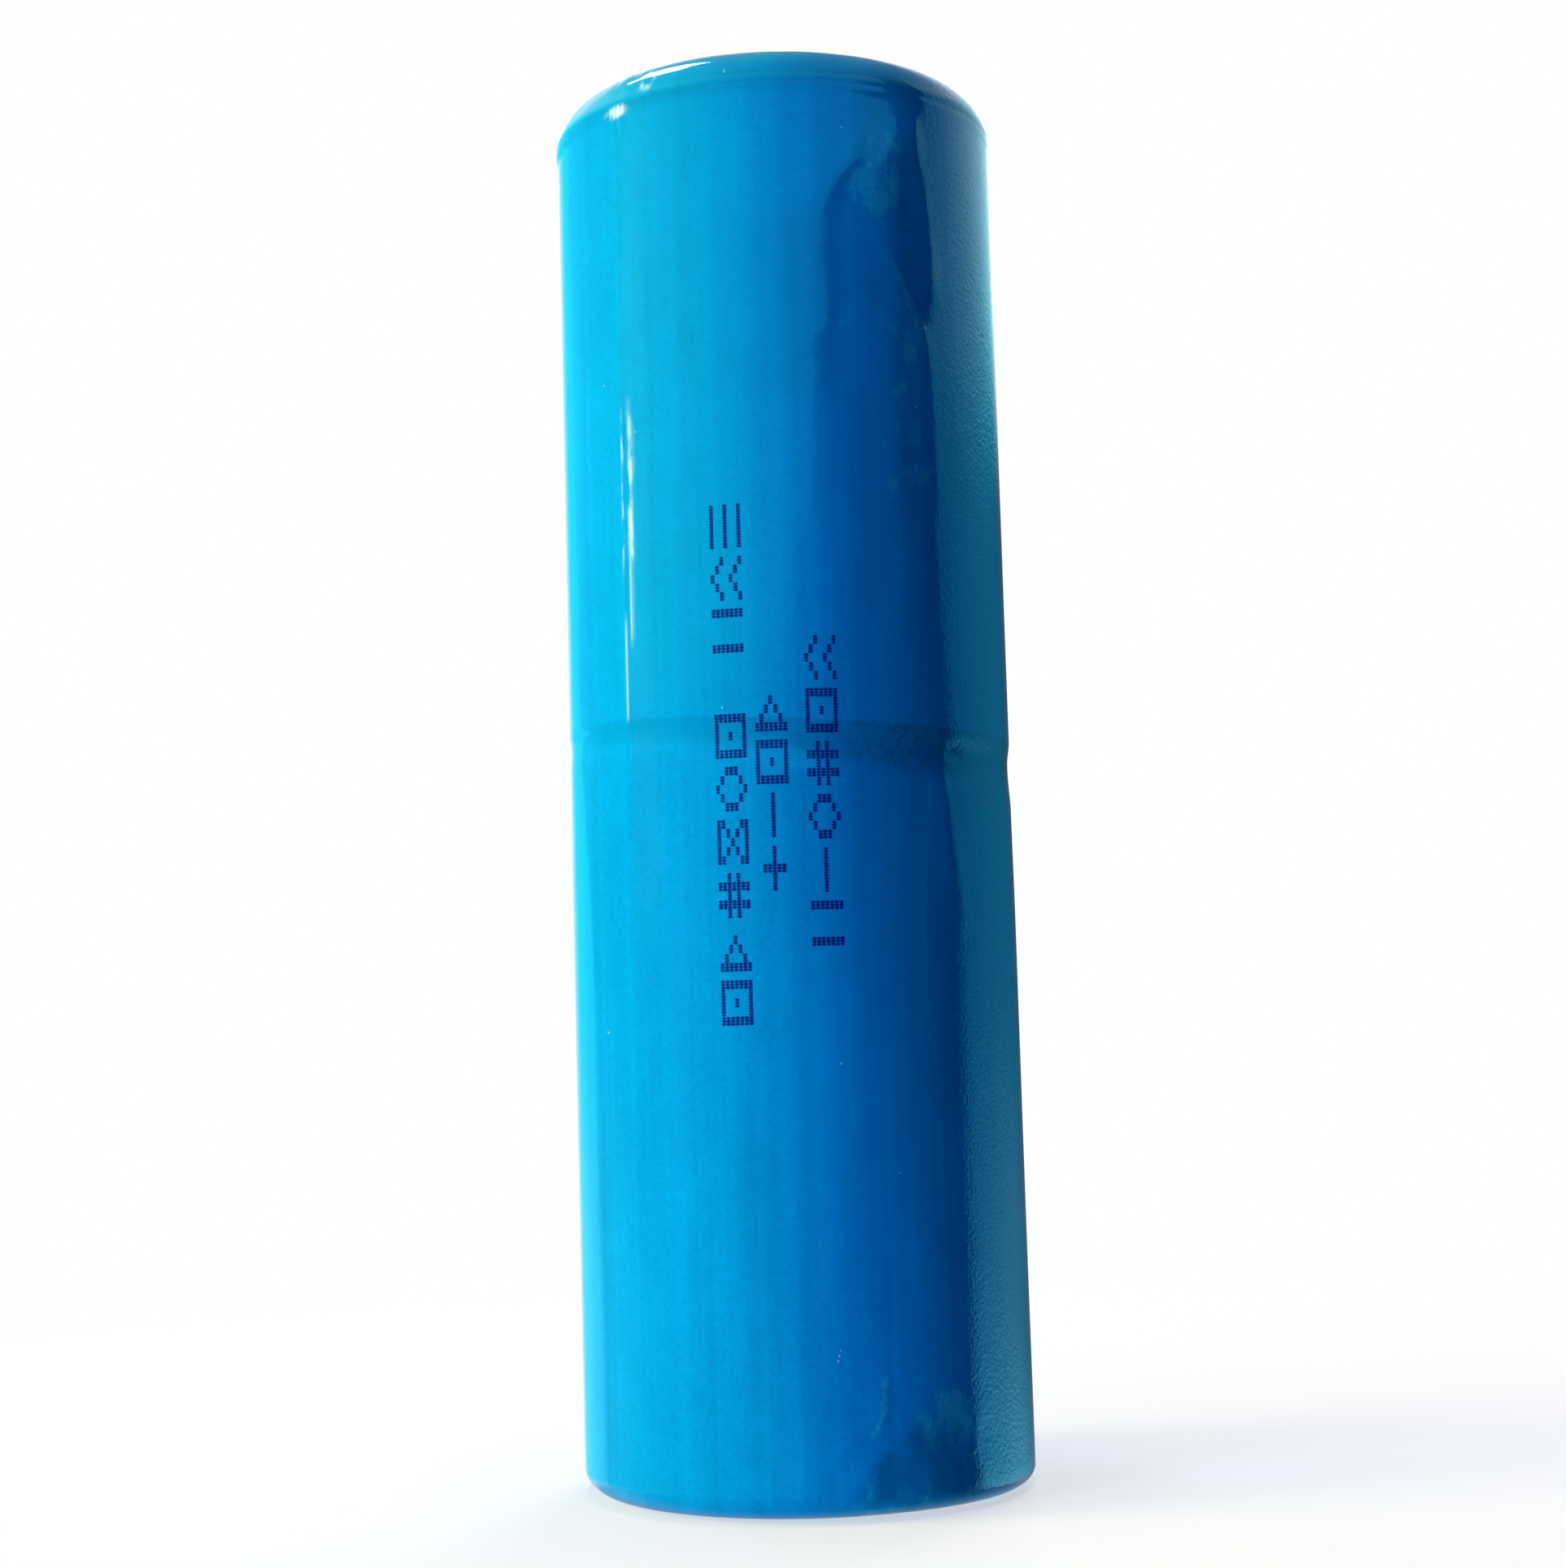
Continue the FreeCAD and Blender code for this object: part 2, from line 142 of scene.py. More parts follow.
def mixed_colour(tree, factor, first, second):
    """Colour between two colours or colour sockets."""
    return add(tree, "ShaderNodeMix", {0: factor, 6: first, 7: second}, data_type="RGBA").outputs[2]


def shaded(colour, share):
    """A colour with its channels made darker or lighter by a share, and full alpha."""
    return [min(1, channel * share) for channel in colour[:3]] + [1]


def bump(tree, height, distance, strength=1.0, normal=None):
    """Normal roughened by a height, on top of another normal where one is given."""
    inputs = {"Height": height, "Distance": distance, "Strength": strength}
    if normal is not None:
        inputs["Normal"] = normal
    return add(tree, "ShaderNodeBump", inputs).outputs[0]


def tone(tree, name):
    """Value stored on the film's points."""
    return add(tree, "ShaderNodeAttribute", attribute_name=name).outputs["Fac"]


# Colours painted on the film: a greener light tint over the crown, a pale painted reflection, and white
# painted highlights
LIGHT_TINT = (0.004, 0.46, 0.62, 1)
REFLECTION_PALE = (0.03, 0.82, 0.88, 1)
GLINT_WHITE = (0.80, 0.98, 1.0, 1)


def film_colour(tree, colour, streaks, grain):
    """The film's blue with streaks, clouds and speckle, under the painted light, shade, reflection and
    highlights stored on its points.
    """
    bands = object_noise(tree, 380, (1, 1, 0.02), 2)
    clouds = object_noise(tree, 90, (1, 1, 0.5), 3)
    blotches = object_noise(tree, 270, (1, 1, 0.6), 5, 0.65)
    drift = 0.5
    for noise, share in ((streaks, 0.08), (bands, 0.10), (clouds, 0.08), (blotches, 0.10), (grain, 0.16)):
        drift = math_node(tree, "ADD", noise_to(tree, noise, -share, share), drift)
    base = mixed_colour(tree, drift, shaded(colour, 0.70), shaded(colour, 1.30))
    # painted light: a greener tint over the crown and the upper left
    base = mixed_colour(tree, tone(tree, "painted_light_tint"), base, LIGHT_TINT)
    # the painted reflection breaks up at its edges into a mottle
    speckle = noise_to(tree, grain, 0.4, 1.6)
    painted_reflection = tone(tree, "painted_reflection")
    mottle = noise_to(tree, object_noise(tree, 620, (1, 1, 0.7), 5, 0.65), -0.5, 0.5)
    reflection_share = remap(tree, math_node(tree, "ADD", painted_reflection, mottle), 0.35, 0.75, 0.0, 1.0)
    reflection_share = math_node(tree, "MULTIPLY", reflection_share, remap(tree, painted_reflection, 0.02, 0.2, 0.0, 0.36))
    base = mixed_colour(tree, math_node(tree, "MULTIPLY", reflection_share, speckle), base, REFLECTION_PALE)
    # painted shade: the shade tone darkens the colour towards a deeper blue
    dark = math_node(tree, "MULTIPLY", tone(tree, "shade"), speckle, clamp=True)
    base = mixed_colour(tree, dark, base, (0, 0.36 * colour[1], 0.26 * colour[2], 1))
    # painted highlights: white glints along the fold and at the shoulder, broken up by noise
    broken = remap(tree, object_noise(tree, 900, (1, 1, 0.35), 3), 0.38, 0.56, 0.0, 1.0)
    painted_glint = math_node(tree, "MULTIPLY", tone(tree, "painted_glint"), broken)
    glints = math_node(tree, "MAXIMUM", painted_glint, tone(tree, "painted_fold_highlight"), clamp=True)
    return mixed_colour(tree, glints, base, GLINT_WHITE)


def film_normal(tree, streaks, grain):
    """Orange peel, drawn streaks and a fine grain, with a coarse grain where the film is matt."""
    normal = bump(tree, object_noise(tree, 420, (1, 1, 0.6), 2), 0.02 * MM)
    normal = bump(tree, streaks, 0.006 * MM, normal=normal)
    normal = bump(tree, grain, 0.0012 * MM, normal=normal)
    return bump(tree, object_noise(tree, 2900, detail=3), 0.034 * MM, tone(tree, "coarse"), normal)


def film_material(colour):
    """Glossy shrink film, drawn along the tube."""
    material, tree, shader = new_material("blue_film")
    streaks = object_noise(tree, 1400, (1, 1, 0.012), 2)
    grain = object_noise(tree, 2600, detail=4, roughness=0.75)
    fill(tree, shader, {
        "Base Color": film_colour(tree, colour, streaks, grain),
        "Roughness": noise_to(tree, object_noise(tree, 260, (1, 1, 0.3), 3), 0.035, 0.08),
        "Normal": film_normal(tree, streaks, grain),
        "IOR": 1.5, "Specular IOR Level": 0.5, "Specular Tint": (0.08, 0.78, 1.0, 1)})
    return material


# ---------------------------------------------------------------- sleeve

def waves(theta, z, seed, around, along, count=14):
    """Smooth random ripple, about -1 to 1, closed round the barrel; along is the shortest wavelength."""
    random = np.random.default_rng(seed)
    total = np.zeros(np.broadcast(theta, z).shape)
    for _ in range(count):
        turns = random.integers(around[0], around[1] + 1)
        rate = random.uniform(-1, 1) * 2 * math.pi / along
        total = total + np.cos(turns * theta + rate * z + random.uniform(0, 2 * math.pi))
    return total / math.sqrt(count)


def hump(value, centre, half_width):
    """Smooth bump of height 1 that fades out half_width either side of its centre."""
    reach = np.clip(np.abs(value - centre) / half_width, 0, 1)
    return (1 - reach ** 2) ** 2


def lobe(theta, angle, half_width):
    """Smooth bump of height 1 round an angle, both in degrees."""
    return hump(theta, math.radians(angle), math.radians(half_width))


def ridge(offset, width):
    """Narrow bump of height 1 where the offset is 0."""
    return np.exp(-(offset / width) ** 2)


def step(value, low, high):
    """0 up to low, 1 from high on, and eased between them."""
    t = np.clip((value - low) / (high - low), 0, 1)
    return t * t * (3 - 2 * t)


def between(value, start, full, fade, end):
    """1 from full to fade, easing to 0 at start and at end."""
    return step(value, start, full) * (1 - step(value, fade, end))


def window(theta, centre, reach, fade):
    """1 within reach of the centre angle and 0 from fade degrees beyond it, closed round the barrel."""
    away = np.abs((theta - math.radians(centre) + math.pi) % (2 * math.pi) - math.pi)
    return 1 - step(away, math.radians(reach), math.radians(reach + fade))


def angle_samples(count, fold_angles, extra, reach):
    """Angles round the barrel, closer together in front and beside the lay-flat folds."""
    front = np.linspace(-math.pi / 2, math.pi / 2, count, endpoint=False)
    behind = np.linspace(math.pi / 2, 1.5 * math.pi, int(0.6 * count), endpoint=False)
    near = [angle + np.linspace(-reach, reach, extra) for angle in fold_angles]
    angles = np.concatenate([front, behind] + near)
    angles = (angles + math.pi) % (2 * math.pi) - math.pi
    return np.unique(np.round(angles, 6))


def spaced(low, high, marks, fine, coarse):
    """Heights from low to high, fine near the marks and coarse elsewhere."""
    heights = [low]
    while heights[-1] < high:
        here = heights[-1]
        reach = min(abs(here - mark) for mark in marks)
        away = min(1, max(0, reach - 3 * MM) / (4 * MM))
        heights.append(here + fine + (coarse - fine) * away)
    heights[-1] = high
    return np.array(heights)


def smooth_path(z, *stops):
    """Angle in radians along the height, eased between stops of (height in mm, angle in degrees)."""
    heights, angles = zip(*sorted(stops))
    return np.radians(np.interp(z / MM, heights, angles))


def side_offset(theta, angle):
    """Distance round the barrel from an angle, positive to the right."""
    return ((theta - angle + math.pi) % (2 * math.pi) - math.pi) * CAN_RADIUS


def wrinkle(theta, z, stops, half_width, height, lean=0.0):
    """Raised crease along a path of (height in mm, degrees); lean makes its left side longer."""
    heights = [stop[0] for stop in stops]
    low, high = min(heights) * MM, max(heights) * MM
    offset = side_offset(theta, smooth_path(z, *stops))
    width = np.where(offset < 0, half_width * (1 + lean), half_width)
    ends = between(z, low - 1.5 * MM, low + 2 * MM, high - 2 * MM, high + 1.5 * MM)
    return height * ends * ridge(offset, width)


def dimple(theta, z, angle, centre, around, along, height):
    """Rounded swelling, or hollow where the height is negative."""
    offset = side_offset(theta, math.radians(angle))
    reach = (offset / around) ** 2 + ((z - centre * MM) / along) ** 2
    return height * np.clip(1 - reach, 0, 1) ** 2


def fold_wander(theta, z):
    """How far a fold strays round the barrel as it climbs."""
    return 0.16 * MM * waves(0 * theta, z, 41, (0, 0), 5 * MM)


def fold_line(theta, z, fold, props):
    """Lay-flat fold: a tight bead on a low tent, pinched tallest over the upper can's lower half."""
    wander = fold_wander(theta, z) * between(z, 75 * MM, 79 * MM, 92 * MM, 96 * MM)
    offset = side_offset(theta, fold) - wander
    foot = upper_low.z
    tall = step(z, foot + 0.5 * MM, foot + 2.5 * MM) * (1 - 0.75 * step(z, 84 * MM, 96 * MM))
    broken = 1 + 0.9 * step(z, 75 * MM, 80 * MM) * waves(0 * theta, z, 42, (0, 0), 3.5 * MM)
    bead = props.fold_height * (0.15 + tall * np.clip(broken, 0, 2.2)) * ridge(offset, 0.24 * MM)
    tent = props.fold_height * 0.9 * np.clip(1 - np.abs(offset) / (3.2 * MM), 0, 1)
    return bead + tent


def groove_edges(theta):
    """Upper and lower height of the hollow that the film leaves over the joint; it drops to the right."""
    right = window(theta, 90, 45, 95)
    ripple = 0.08 * MM * waves(theta, 0 * theta, 3, (1, 7), 1)
    upper = upper_low.z + (2.45 - 1.4 * right) * MM + ripple
    lower = upper_low.z + (0.75 - 2.5 * right) * MM - ripple
    return upper, lower


def joint_groove(theta, z, props):
    """Film that turns in over the joint and comes back out slowly below it, more so on the right."""
    right = window(theta, 90, 45, 95)
    upper, lower = groove_edges(theta)
    inward = step(upper - z, 0 * MM, (0.9 + 1.2 * right) * MM)
    outward = step(lower - z, -0.4 * MM, (1.4 + 1.6 * right) * MM)
    tail = 1 - step(lower - z, 1 * MM, 12 * MM)
    return -props.groove_depth * (0.35 + 0.4 * right) * inward * (0.25 * tail + 0.75 * (1 - outward))


def film_relief(theta, z, props):
    """Outward displacement of the film's wall at an angle and a height."""
    relief = joint_groove(theta, z, props)
    for fold in (props.fold_angle, props.fold_angle + math.pi):
        relief = relief + fold_line(theta, z, fold, props)
    # loose film on the right, most of it towards the top
    loose = lobe(theta, 46, 44) * (0.35 + 0.65 * step(z, 66 * MM, 100 * MM))
    relief = relief + 0.045 * MM * loose * waves(theta, z, 11, (3, 9), 24 * MM)
    # slow unevenness all over, and faint lines along the barrel
    relief = relief + 0.014 * MM * waves(theta, z, 12, (1, 5), 40 * MM)
    relief = relief + 0.004 * MM * waves(theta, z, 14, (10, 40), 60 * MM)
    for angle, centre, around, along, height in DIMPLES:
        relief = relief + dimple(theta, z, angle, centre, around * MM, along * MM, height * MM)
    for stops, half_width, height, lean in WRINKLES:
        relief = relief + wrinkle(theta, z, stops, half_width * MM, height * MM, lean)
    # small tucks above the lower corner, and under the crease beside the fold
    tuck = hump(z, 5 * MM, 4.5 * MM) * lobe(theta, 32, 30)
    relief = relief + 0.05 * MM * tuck * waves(theta, z, 13, (12, 40), 5 * MM)
    beside_fold = hump(theta, props.fold_angle + math.radians(1), math.radians(7))
    pinch = hump(z, upper_high.z - 0.4 * MM, 2.2 * MM) * beside_fold
    relief = relief + 0.07 * MM * pinch * waves(theta, z, 15, (60, 110), 8 * MM)
    return np.clip(relief, -0.8 * props.film, FOOT_RADIUS - CAN_RADIUS - FILM_GAP - props.film)


# Dimples: angle in degrees, then in mm the height on the barrel, the reach round and along it, and the swell
DIMPLES = (
    (26, 107, 3.4, 4.8, 0.17),
    (37.5, 102.5, 2.4, 7.5, -0.14),
    (34.5, 109.5, 2.4, 3.0, 0.06),
    (43, 54, 3.4, 7.5, 0.10),
    (45, 59.8, 1.5, 1.2, -0.06),
    (12, 97, 4.8, 8.0, -0.08),
    (34, 78, 3.6, 14.0, 0.05),
    (-60, 46, 4.0, 14.0, 0.05),
    (22, 3.2, 3.0, 2.4, -0.12),
    (38, 6.0, 2.6, 2.2, -0.12),
    (-2, 106, 5.0, 6.0, 0.04),
)

# Wrinkles: path of (height in mm, angle in degrees), half-width and swell in mm, and lean
WRINKLES = (
    (((103.5, 26.7), (101.5, 28), (99.5, 30), (97.5, 32.5), (96, 35.5), (93, 39.5)), 0.55, 0.07, 1.4),
    (((112.8, 37.5), (108, 38.5), (104, 41), (97, 43)), 0.8, 0.10, 1.6),
    (((110.5, 22.5), (108, 20.5), (105, 14), (103, 11.8), (99, 12.5), (92, 11.5)), 0.9, 0.07, 2.2),
    (((95, 29.5), (79, 29)), 0.9, 0.05, 1.4),
    (((94, 39.5), (88, 41), (80, 43)), 0.7, 0.05, 1.0),
    (((58.4, 40), (54, 42), (46, 47)), 0.7, 0.07, 1.5),
    (((11, 18.4), (7, 17)), 0.45, 0.10, 0.8),
    (((6.5, 20.5), (4, 15), (1.6, 9.6)), 0.6, 0.12, 1.2),
    (((8.2, 28.7), (6.4, 35), (5, 41)), 0.5, 0.12, 0.8),
    (((62.5, -57), (56, -54), (43, -52.5)), 0.4, 0.03, 1.0),
    (((58, -50), (30, -49.5)), 0.5, 0.012, 1.0),
)


def foot_outline(theta, z, wall):
    """Radius of the film: it swells over the ring's foot, most at the left, and turns in to the crease."""
    share = 0.14 + 0.86 * window(theta, -118, 33, 40) + 0.3 * window(theta, 110, 20, 35)
    flare = step(z, CREASE_Z - 1.0 * MM, CREASE_Z - 0.1 * MM)
    turn = step(z, CREASE_Z + 0.2 * MM, CREASE_Z + 1.7 * MM)
    nick = 0.045 * MM * ridge(z - CREASE_Z, 0.26 * MM)
    return wall + (FOOT_RADIUS - wall) * share * (flare - turn) - nick


def lip_outline(theta, props, sway_seed, flutter_seed):
    """Radius of the film's opening at one end, swaying, and puckered in places."""
    zero = np.zeros_like(theta)
    sway = 0.16 * MM * waves(theta, zero, sway_seed, (1, 6), 1)
    pucker = np.clip(waves(theta, zero, 25, (3, 11), 1), 0, 2)
    flutter = np.clip(waves(theta, zero, flutter_seed, (18, 44), 1), -1.2, 1.2)
    return props.lip_radius + sway + 0.06 * MM * pucker * flutter


def bottom_rings(tube, props):
    """Folded-in lower end, from the opening out and round the corner."""
    corner = tube.wall - tube.rounding
    flutter = np.abs(waves(tube.theta, tube.zero, 23, (30, 60), 1))
    for t in np.linspace(0, 1, 9)[:-1]:
        ripple = 0.05 * MM * (1 - t) * flutter
        yield tube.lower_lip + (corner - tube.lower_lip) * t, sleeve_low.z + ripple
    for a in np.linspace(-math.pi / 2, 0, 15)[:-1]:
        height = sleeve_low.z + tube.rounding * (1 + math.sin(a))
        relief = film_relief(tube.theta, height, props) * math.cos(a)
        yield corner + (tube.rounding + relief) * math.cos(a), height


def wall_rings(tube, props):
    """The wall, up to the crease, with the swell over the ring's foot."""
    marks = (lower_high.z, upper_low.z + 1.6 * MM, CREASE_Z)
    start = sleeve_low.z + np.max(tube.rounding)
    for z in spaced(start, CREASE_Z, marks, fine=0.18 * MM, coarse=0.68 * MM):
        fade = 1 - 0.8 * step(z, CREASE_Z - 1.0 * MM, CREASE_Z - 0.2 * MM)
        swell = foot_outline(tube.theta, z, tube.wall) - tube.wall
        relief = film_relief(tube.theta, tube.zero + z, props)
        yield tube.wall + np.minimum(swell + relief * fade, FOOT_RADIUS - tube.wall), z


def shoulder_rings(tube, props):
    """Rounded shoulder over the ring, gathered beside the fold."""
    gather = hump(tube.theta, props.fold_angle + math.radians(3), math.radians(9))
    for a in np.linspace(0, math.pi / 2, 25)[1:]:
        arc = tube.zero + a * SHOULDER_WIDTH
        relief = 0.02 * MM * waves(tube.theta, arc, 31, (3, 16), 3 * MM)
        relief = relief + 0.05 * MM * gather * waves(tube.theta, arc, 32, (40, 70), 9 * MM)
        relief = relief * math.sin(2 * a)
        swell = foot_outline(tube.theta, CREASE_Z + SHOULDER_HEIGHT * math.sin(a), tube.wall) - tube.wall
        radius = tube.wall - SHOULDER_WIDTH + SHOULDER_WIDTH * math.cos(a)
        rise = (SHOULDER_HEIGHT + np.minimum(relief, 0.02 * MM)) * math.sin(a)
        yield radius + np.minimum(swell + relief * math.cos(a), FOOT_RADIUS - tube.wall), CREASE_Z + rise


def top_rings(tube):
    """Folded-in upper end, from the shoulder to the opening."""
    corner = tube.wall - SHOULDER_WIDTH
    flutter = np.abs(waves(tube.theta, tube.zero, 24, (20, 50), 1))
    for t in np.linspace(0, 1, 11)[1:]:
        yield corner - (corner - tube.upper_lip) * t, sleeve_high.z - 0.06 * MM * t * flutter


def cut_edge(lip, middle, film):
    """Rings round the film's cut edge at an opening, from its upper side to its lower."""
    for a in np.linspace(0, math.pi, 6)[1:-1]:
        yield lip - film / 2 * math.sin(a), middle + film / 2 * math.cos(a)


def lining_rings(tube, props):
    """Inner side of the film, from the upper opening down to the lower one."""
    film = props.film
    inner = tube.wall - film
    corner = tube.wall - SHOULDER_WIDTH
    for t in np.linspace(0, 1, 4)[:-1]:
        yield tube.upper_lip + (corner - tube.upper_lip) * t, sleeve_high.z - film
    width, height = SHOULDER_WIDTH - film, SHOULDER_HEIGHT - film
    for a in np.linspace(math.pi / 2, 0, 7)[:-1]:
        yield corner + width * math.cos(a), CREASE_Z + height * math.sin(a)
    # clear of the ring's foot, then of the can
    for above, beside in ((0.6, ring_high.x), (0.45, ring_high.x), (-0.1, ring_high.x), (-0.9, inner)):
        z = upper_high.z + above * MM
        yield np.maximum(foot_outline(tube.theta, z, tube.wall) - film, beside + 0.02 * MM), z
    yield inner, upper_low.z + 2 * MM
    yield inner - 0.5 * props.groove_depth, (lower_high.z + upper_low.z) / 2
    yield inner, lower_high.z - 1.8 * MM
    corner = tube.wall - tube.rounding
    reach = tube.rounding - film
    for a in np.linspace(0, -math.pi / 2, 7):
        yield corner + reach * math.cos(a), sleeve_low.z + tube.rounding + reach * math.sin(a)
    for t in np.linspace(1, 0, 4)[1:]:
        yield tube.lower_lip + (corner - tube.lower_lip) * t, sleeve_low.z + film


def sleeve_rings(theta, props):
    """Rings of the closed film tube: each a radius and a height for every angle."""
    film = props.film
    zero = np.zeros_like(theta)
    right = between(theta, math.radians(15), math.radians(60), math.radians(110), math.radians(160))
    tube = SimpleNamespace(
        theta=theta, zero=zero, wall=CAN_RADIUS + FILM_GAP + film,
        rounding=spacer_low.z - sleeve_low.z + (1.6 - 0.75 * right) * MM,
        upper_lip=lip_outline(theta, props, 21, 26), lower_lip=lip_outline(theta, props, 22, 27))
    parts = (bottom_rings(tube, props), wall_rings(tube, props), shoulder_rings(tube, props), top_rings(tube),
             cut_edge(tube.upper_lip, sleeve_high.z - film / 2, film), lining_rings(tube, props),
             cut_edge(tube.lower_lip, sleeve_low.z + film / 2, film))
    return [(radius + zero, height + zero) for part in parts for radius, height in part]


def closed_tube(name, rings, theta):
    """Mesh that joins the rings into one closed skin."""
    radius = np.array([ring[0] for ring in rings])
    height = np.array([ring[1] for ring in rings])
    x = radius * np.sin(theta)
    y = -radius * np.cos(theta)
    points = np.stack([x, y, height], axis=-1).reshape(-1, 3)
    index = np.arange(radius.size).reshape(radius.shape)
    across = np.roll(index, -1, axis=1)
    faces = np.stack([index, across, np.roll(across, -1, axis=0), np.roll(index, -1, axis=0)], axis=-1)
    mesh = bpy.data.meshes.new(name)
    mesh.from_pydata(points.tolist(), [], faces.reshape(-1, 4).tolist())
    mesh.polygons.foreach_set("use_smooth", [True] * len(mesh.polygons))
    mesh.update()
    return mesh


def patch(theta, z, angle, centre, around, along):
    """Rounded spot of height 1: its angle in degrees, its height and reaches in mm."""
    return dimple(theta, z, angle, centre, around * MM, along * MM, 1.0)


def trail(theta, z, stops, half_width, lean):
    """Line of height 1 along a path of (height in mm, degrees), its half-width in mm."""
    return wrinkle(theta, z, stops, half_width * MM, 1.0, lean)


def painted_reflection_tone(theta, z, crack):
    """Painted reflection: pale torn-edged patches at the top and bottom right, and along its creases."""
    fine = waves(theta, z, 52, (40, 130), 1.1 * MM)
    return sum((
        0.8 * step(patch(theta, z, 26, 105.6, 3.8, 3.3) * (1 + 0.30 * crack + 0.12 * fine), 0.12, 0.45),
        0.5 * step(patch(theta, z, 29.5, 109.8, 4.0, 3.0) * (1 + 0.8 * fine), 0.3, 0.9),
        0.7 * trail(theta, z, ((103.5, 26.7), (99.5, 30), (96, 35.5), (93, 39.5)), 0.32, 0.2),
        0.40 * trail(theta, z, ((96, 33), (79, 35)), 2.4, 0.2),
        0.7 * step(patch(theta, z, 36, 7.4, 4.6, 3.4) * (1 + 0.5 * crack + 0.3 * fine), 0.15, 0.6),
        0.30 * (1 - step(z, 2 * MM, 10 * MM)) * window(theta, 34, 16, 16),
        0.8 * trail(theta, z, ((11.5, 19), (8.5, 18), (6.5, 15.5)), 0.25, 0.3)))


def light_tint_tone(theta, z, crown):
    """Painted light: a greener, less blue tint over the crown, up the left of the upper can and where the
    film lies loose.
    """
    left = window(theta, -28, 10, 20) * step(z, 58 * MM, 70 * MM) * (1 - crown)
    loose = lobe(theta, 34, 34) * step(z, 101 * MM, 110 * MM)
    return 0.45 * crown * window(theta, 15, 75, 30) + 0.22 * left + 0.22 * loose


def shade_tone(theta, z, crack, crown):
    """Painted shade: darker film colour in the joint's hollow, along the crease, over the crown and the
    right, under loose film and along the wrinkles.
    """
    upper, lower = groove_edges(theta)
    right = window(theta, 90, 45, 85)
    below = step(lower - z, -0.5 * MM, (0.5 + 1.5 * right) * MM)
    hollow = step(upper - z, -0.06 * MM, 0.14 * MM) * (1 - below)
    crease = ridge(z - CREASE_Z, np.where(z < CREASE_Z, 0.7 * MM, 0.2 * MM))
    leaf = trail(theta, z, ((110, 38), (108, 37.5), (105, 38), (101, 38.5), (97, 38.5)), 1.0, 0.6)
    return sum((
        (0.14 + 0.20 * right) * window(theta, 20, 72, 12) * hollow,
        0.30 * crease * (1 - 0.6 * right) * window(theta, 10, 50, 40),
        0.20 * crown * window(theta, 22, 30, 25),
        0.26 * lobe(theta, 28, 30) * between(z, 5 * MM, 45 * MM, 96 * MM, 108 * MM),
        0.18 * step(leaf * step(z, 94 * MM, 104 * MM) * (1 + 0.2 * crack), 0.2, 0.5),
        0.30 * trail(theta, z, ((109.8, 23.5), (107.7, 21), (105.4, 16.5), (103.8, 14.5)), 0.7, 0.1),
        0.34 * step(patch(theta, z, 31, 1.8, 7.2, 7.0) * (1 + 0.5 * crack), 0.10, 0.36),
        0.20 * trail(theta, z, ((104, 12.5), (101, 11), (88, 11)), 1.2, 3.0)))


def glint_tone(theta, z, fold_angle):
    """Painted highlights: white glints beside the fold, and two at the shoulder above it."""
    along = side_offset(theta, fold_angle)
    high = between(z, 74.5 * MM, 77 * MM, 84 * MM, 90 * MM)
    slivers = step(np.cos(2 * math.pi * along / (0.46 * MM) + 0.4), -0.3, 0.6)
    return sum((
        1.3 * high * ridge(along - 0.75 * MM - fold_wander(theta, z), 0.20 * MM),
        0.7 * high * ridge(along, 0.10 * MM),
        (0.9 + 1.6 * slivers) * patch(theta, z, -43.0, 113.5, 1.6, 0.7),
        2.6 * patch(theta, z, -33.0, 115.65, 0.8, 1.3)))


def fold_highlight_tone(theta, z, fold_angle):
    """Painted highlights: two thin white lines along the fold."""
    along = side_offset(theta, fold_angle)
    low = between(z, 62.6 * MM, 63.6 * MM, 70 * MM, 72 * MM)
    middle = between(z, 68.5 * MM, 70.5 * MM, 77 * MM, 81 * MM)
    return (0.6 * low * ridge(along - 0.10 * MM, 0.09 * MM)
            + 0.8 * middle * ridge(along - 0.70 * MM, 0.10 * MM))


def film_tones(mesh, props):
    """Painted light, shade, reflection and highlights on the film's colour, and where its grain is coarse,
    each a value for every point.
    """
    places = np.empty(len(mesh.vertices) * 3)
    mesh.vertices.foreach_get("co", places)
    x, y, z = places.reshape(-1, 3).T
    theta = np.arctan2(x, -y)
    crack = waves(theta, z, 51, (12, 45), 2.4 * MM)
    crown = step(z, CREASE_Z, CREASE_Z + 0.5 * MM)
    return {
        "painted_reflection": painted_reflection_tone(theta, z, crack),
        "painted_light_tint": light_tint_tone(theta, z, crown),
        "coarse": window(theta, 72, 25, 10),
        "shade": shade_tone(theta, z, crack, crown),
        "painted_glint": glint_tone(theta, z, props.fold_angle),
        "painted_fold_highlight": fold_highlight_tone(theta, z, props.fold_angle),
    }


def new_piece(name, mesh, material):
    """Links a finished mesh as a piece that rides on the body."""
    piece = bpy.data.objects.new(name, mesh)
    bpy.context.scene.collection.objects.link(piece)
    mesh.materials.clear()
    mesh.materials.append(material)
    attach(piece, BODY)
    return piece


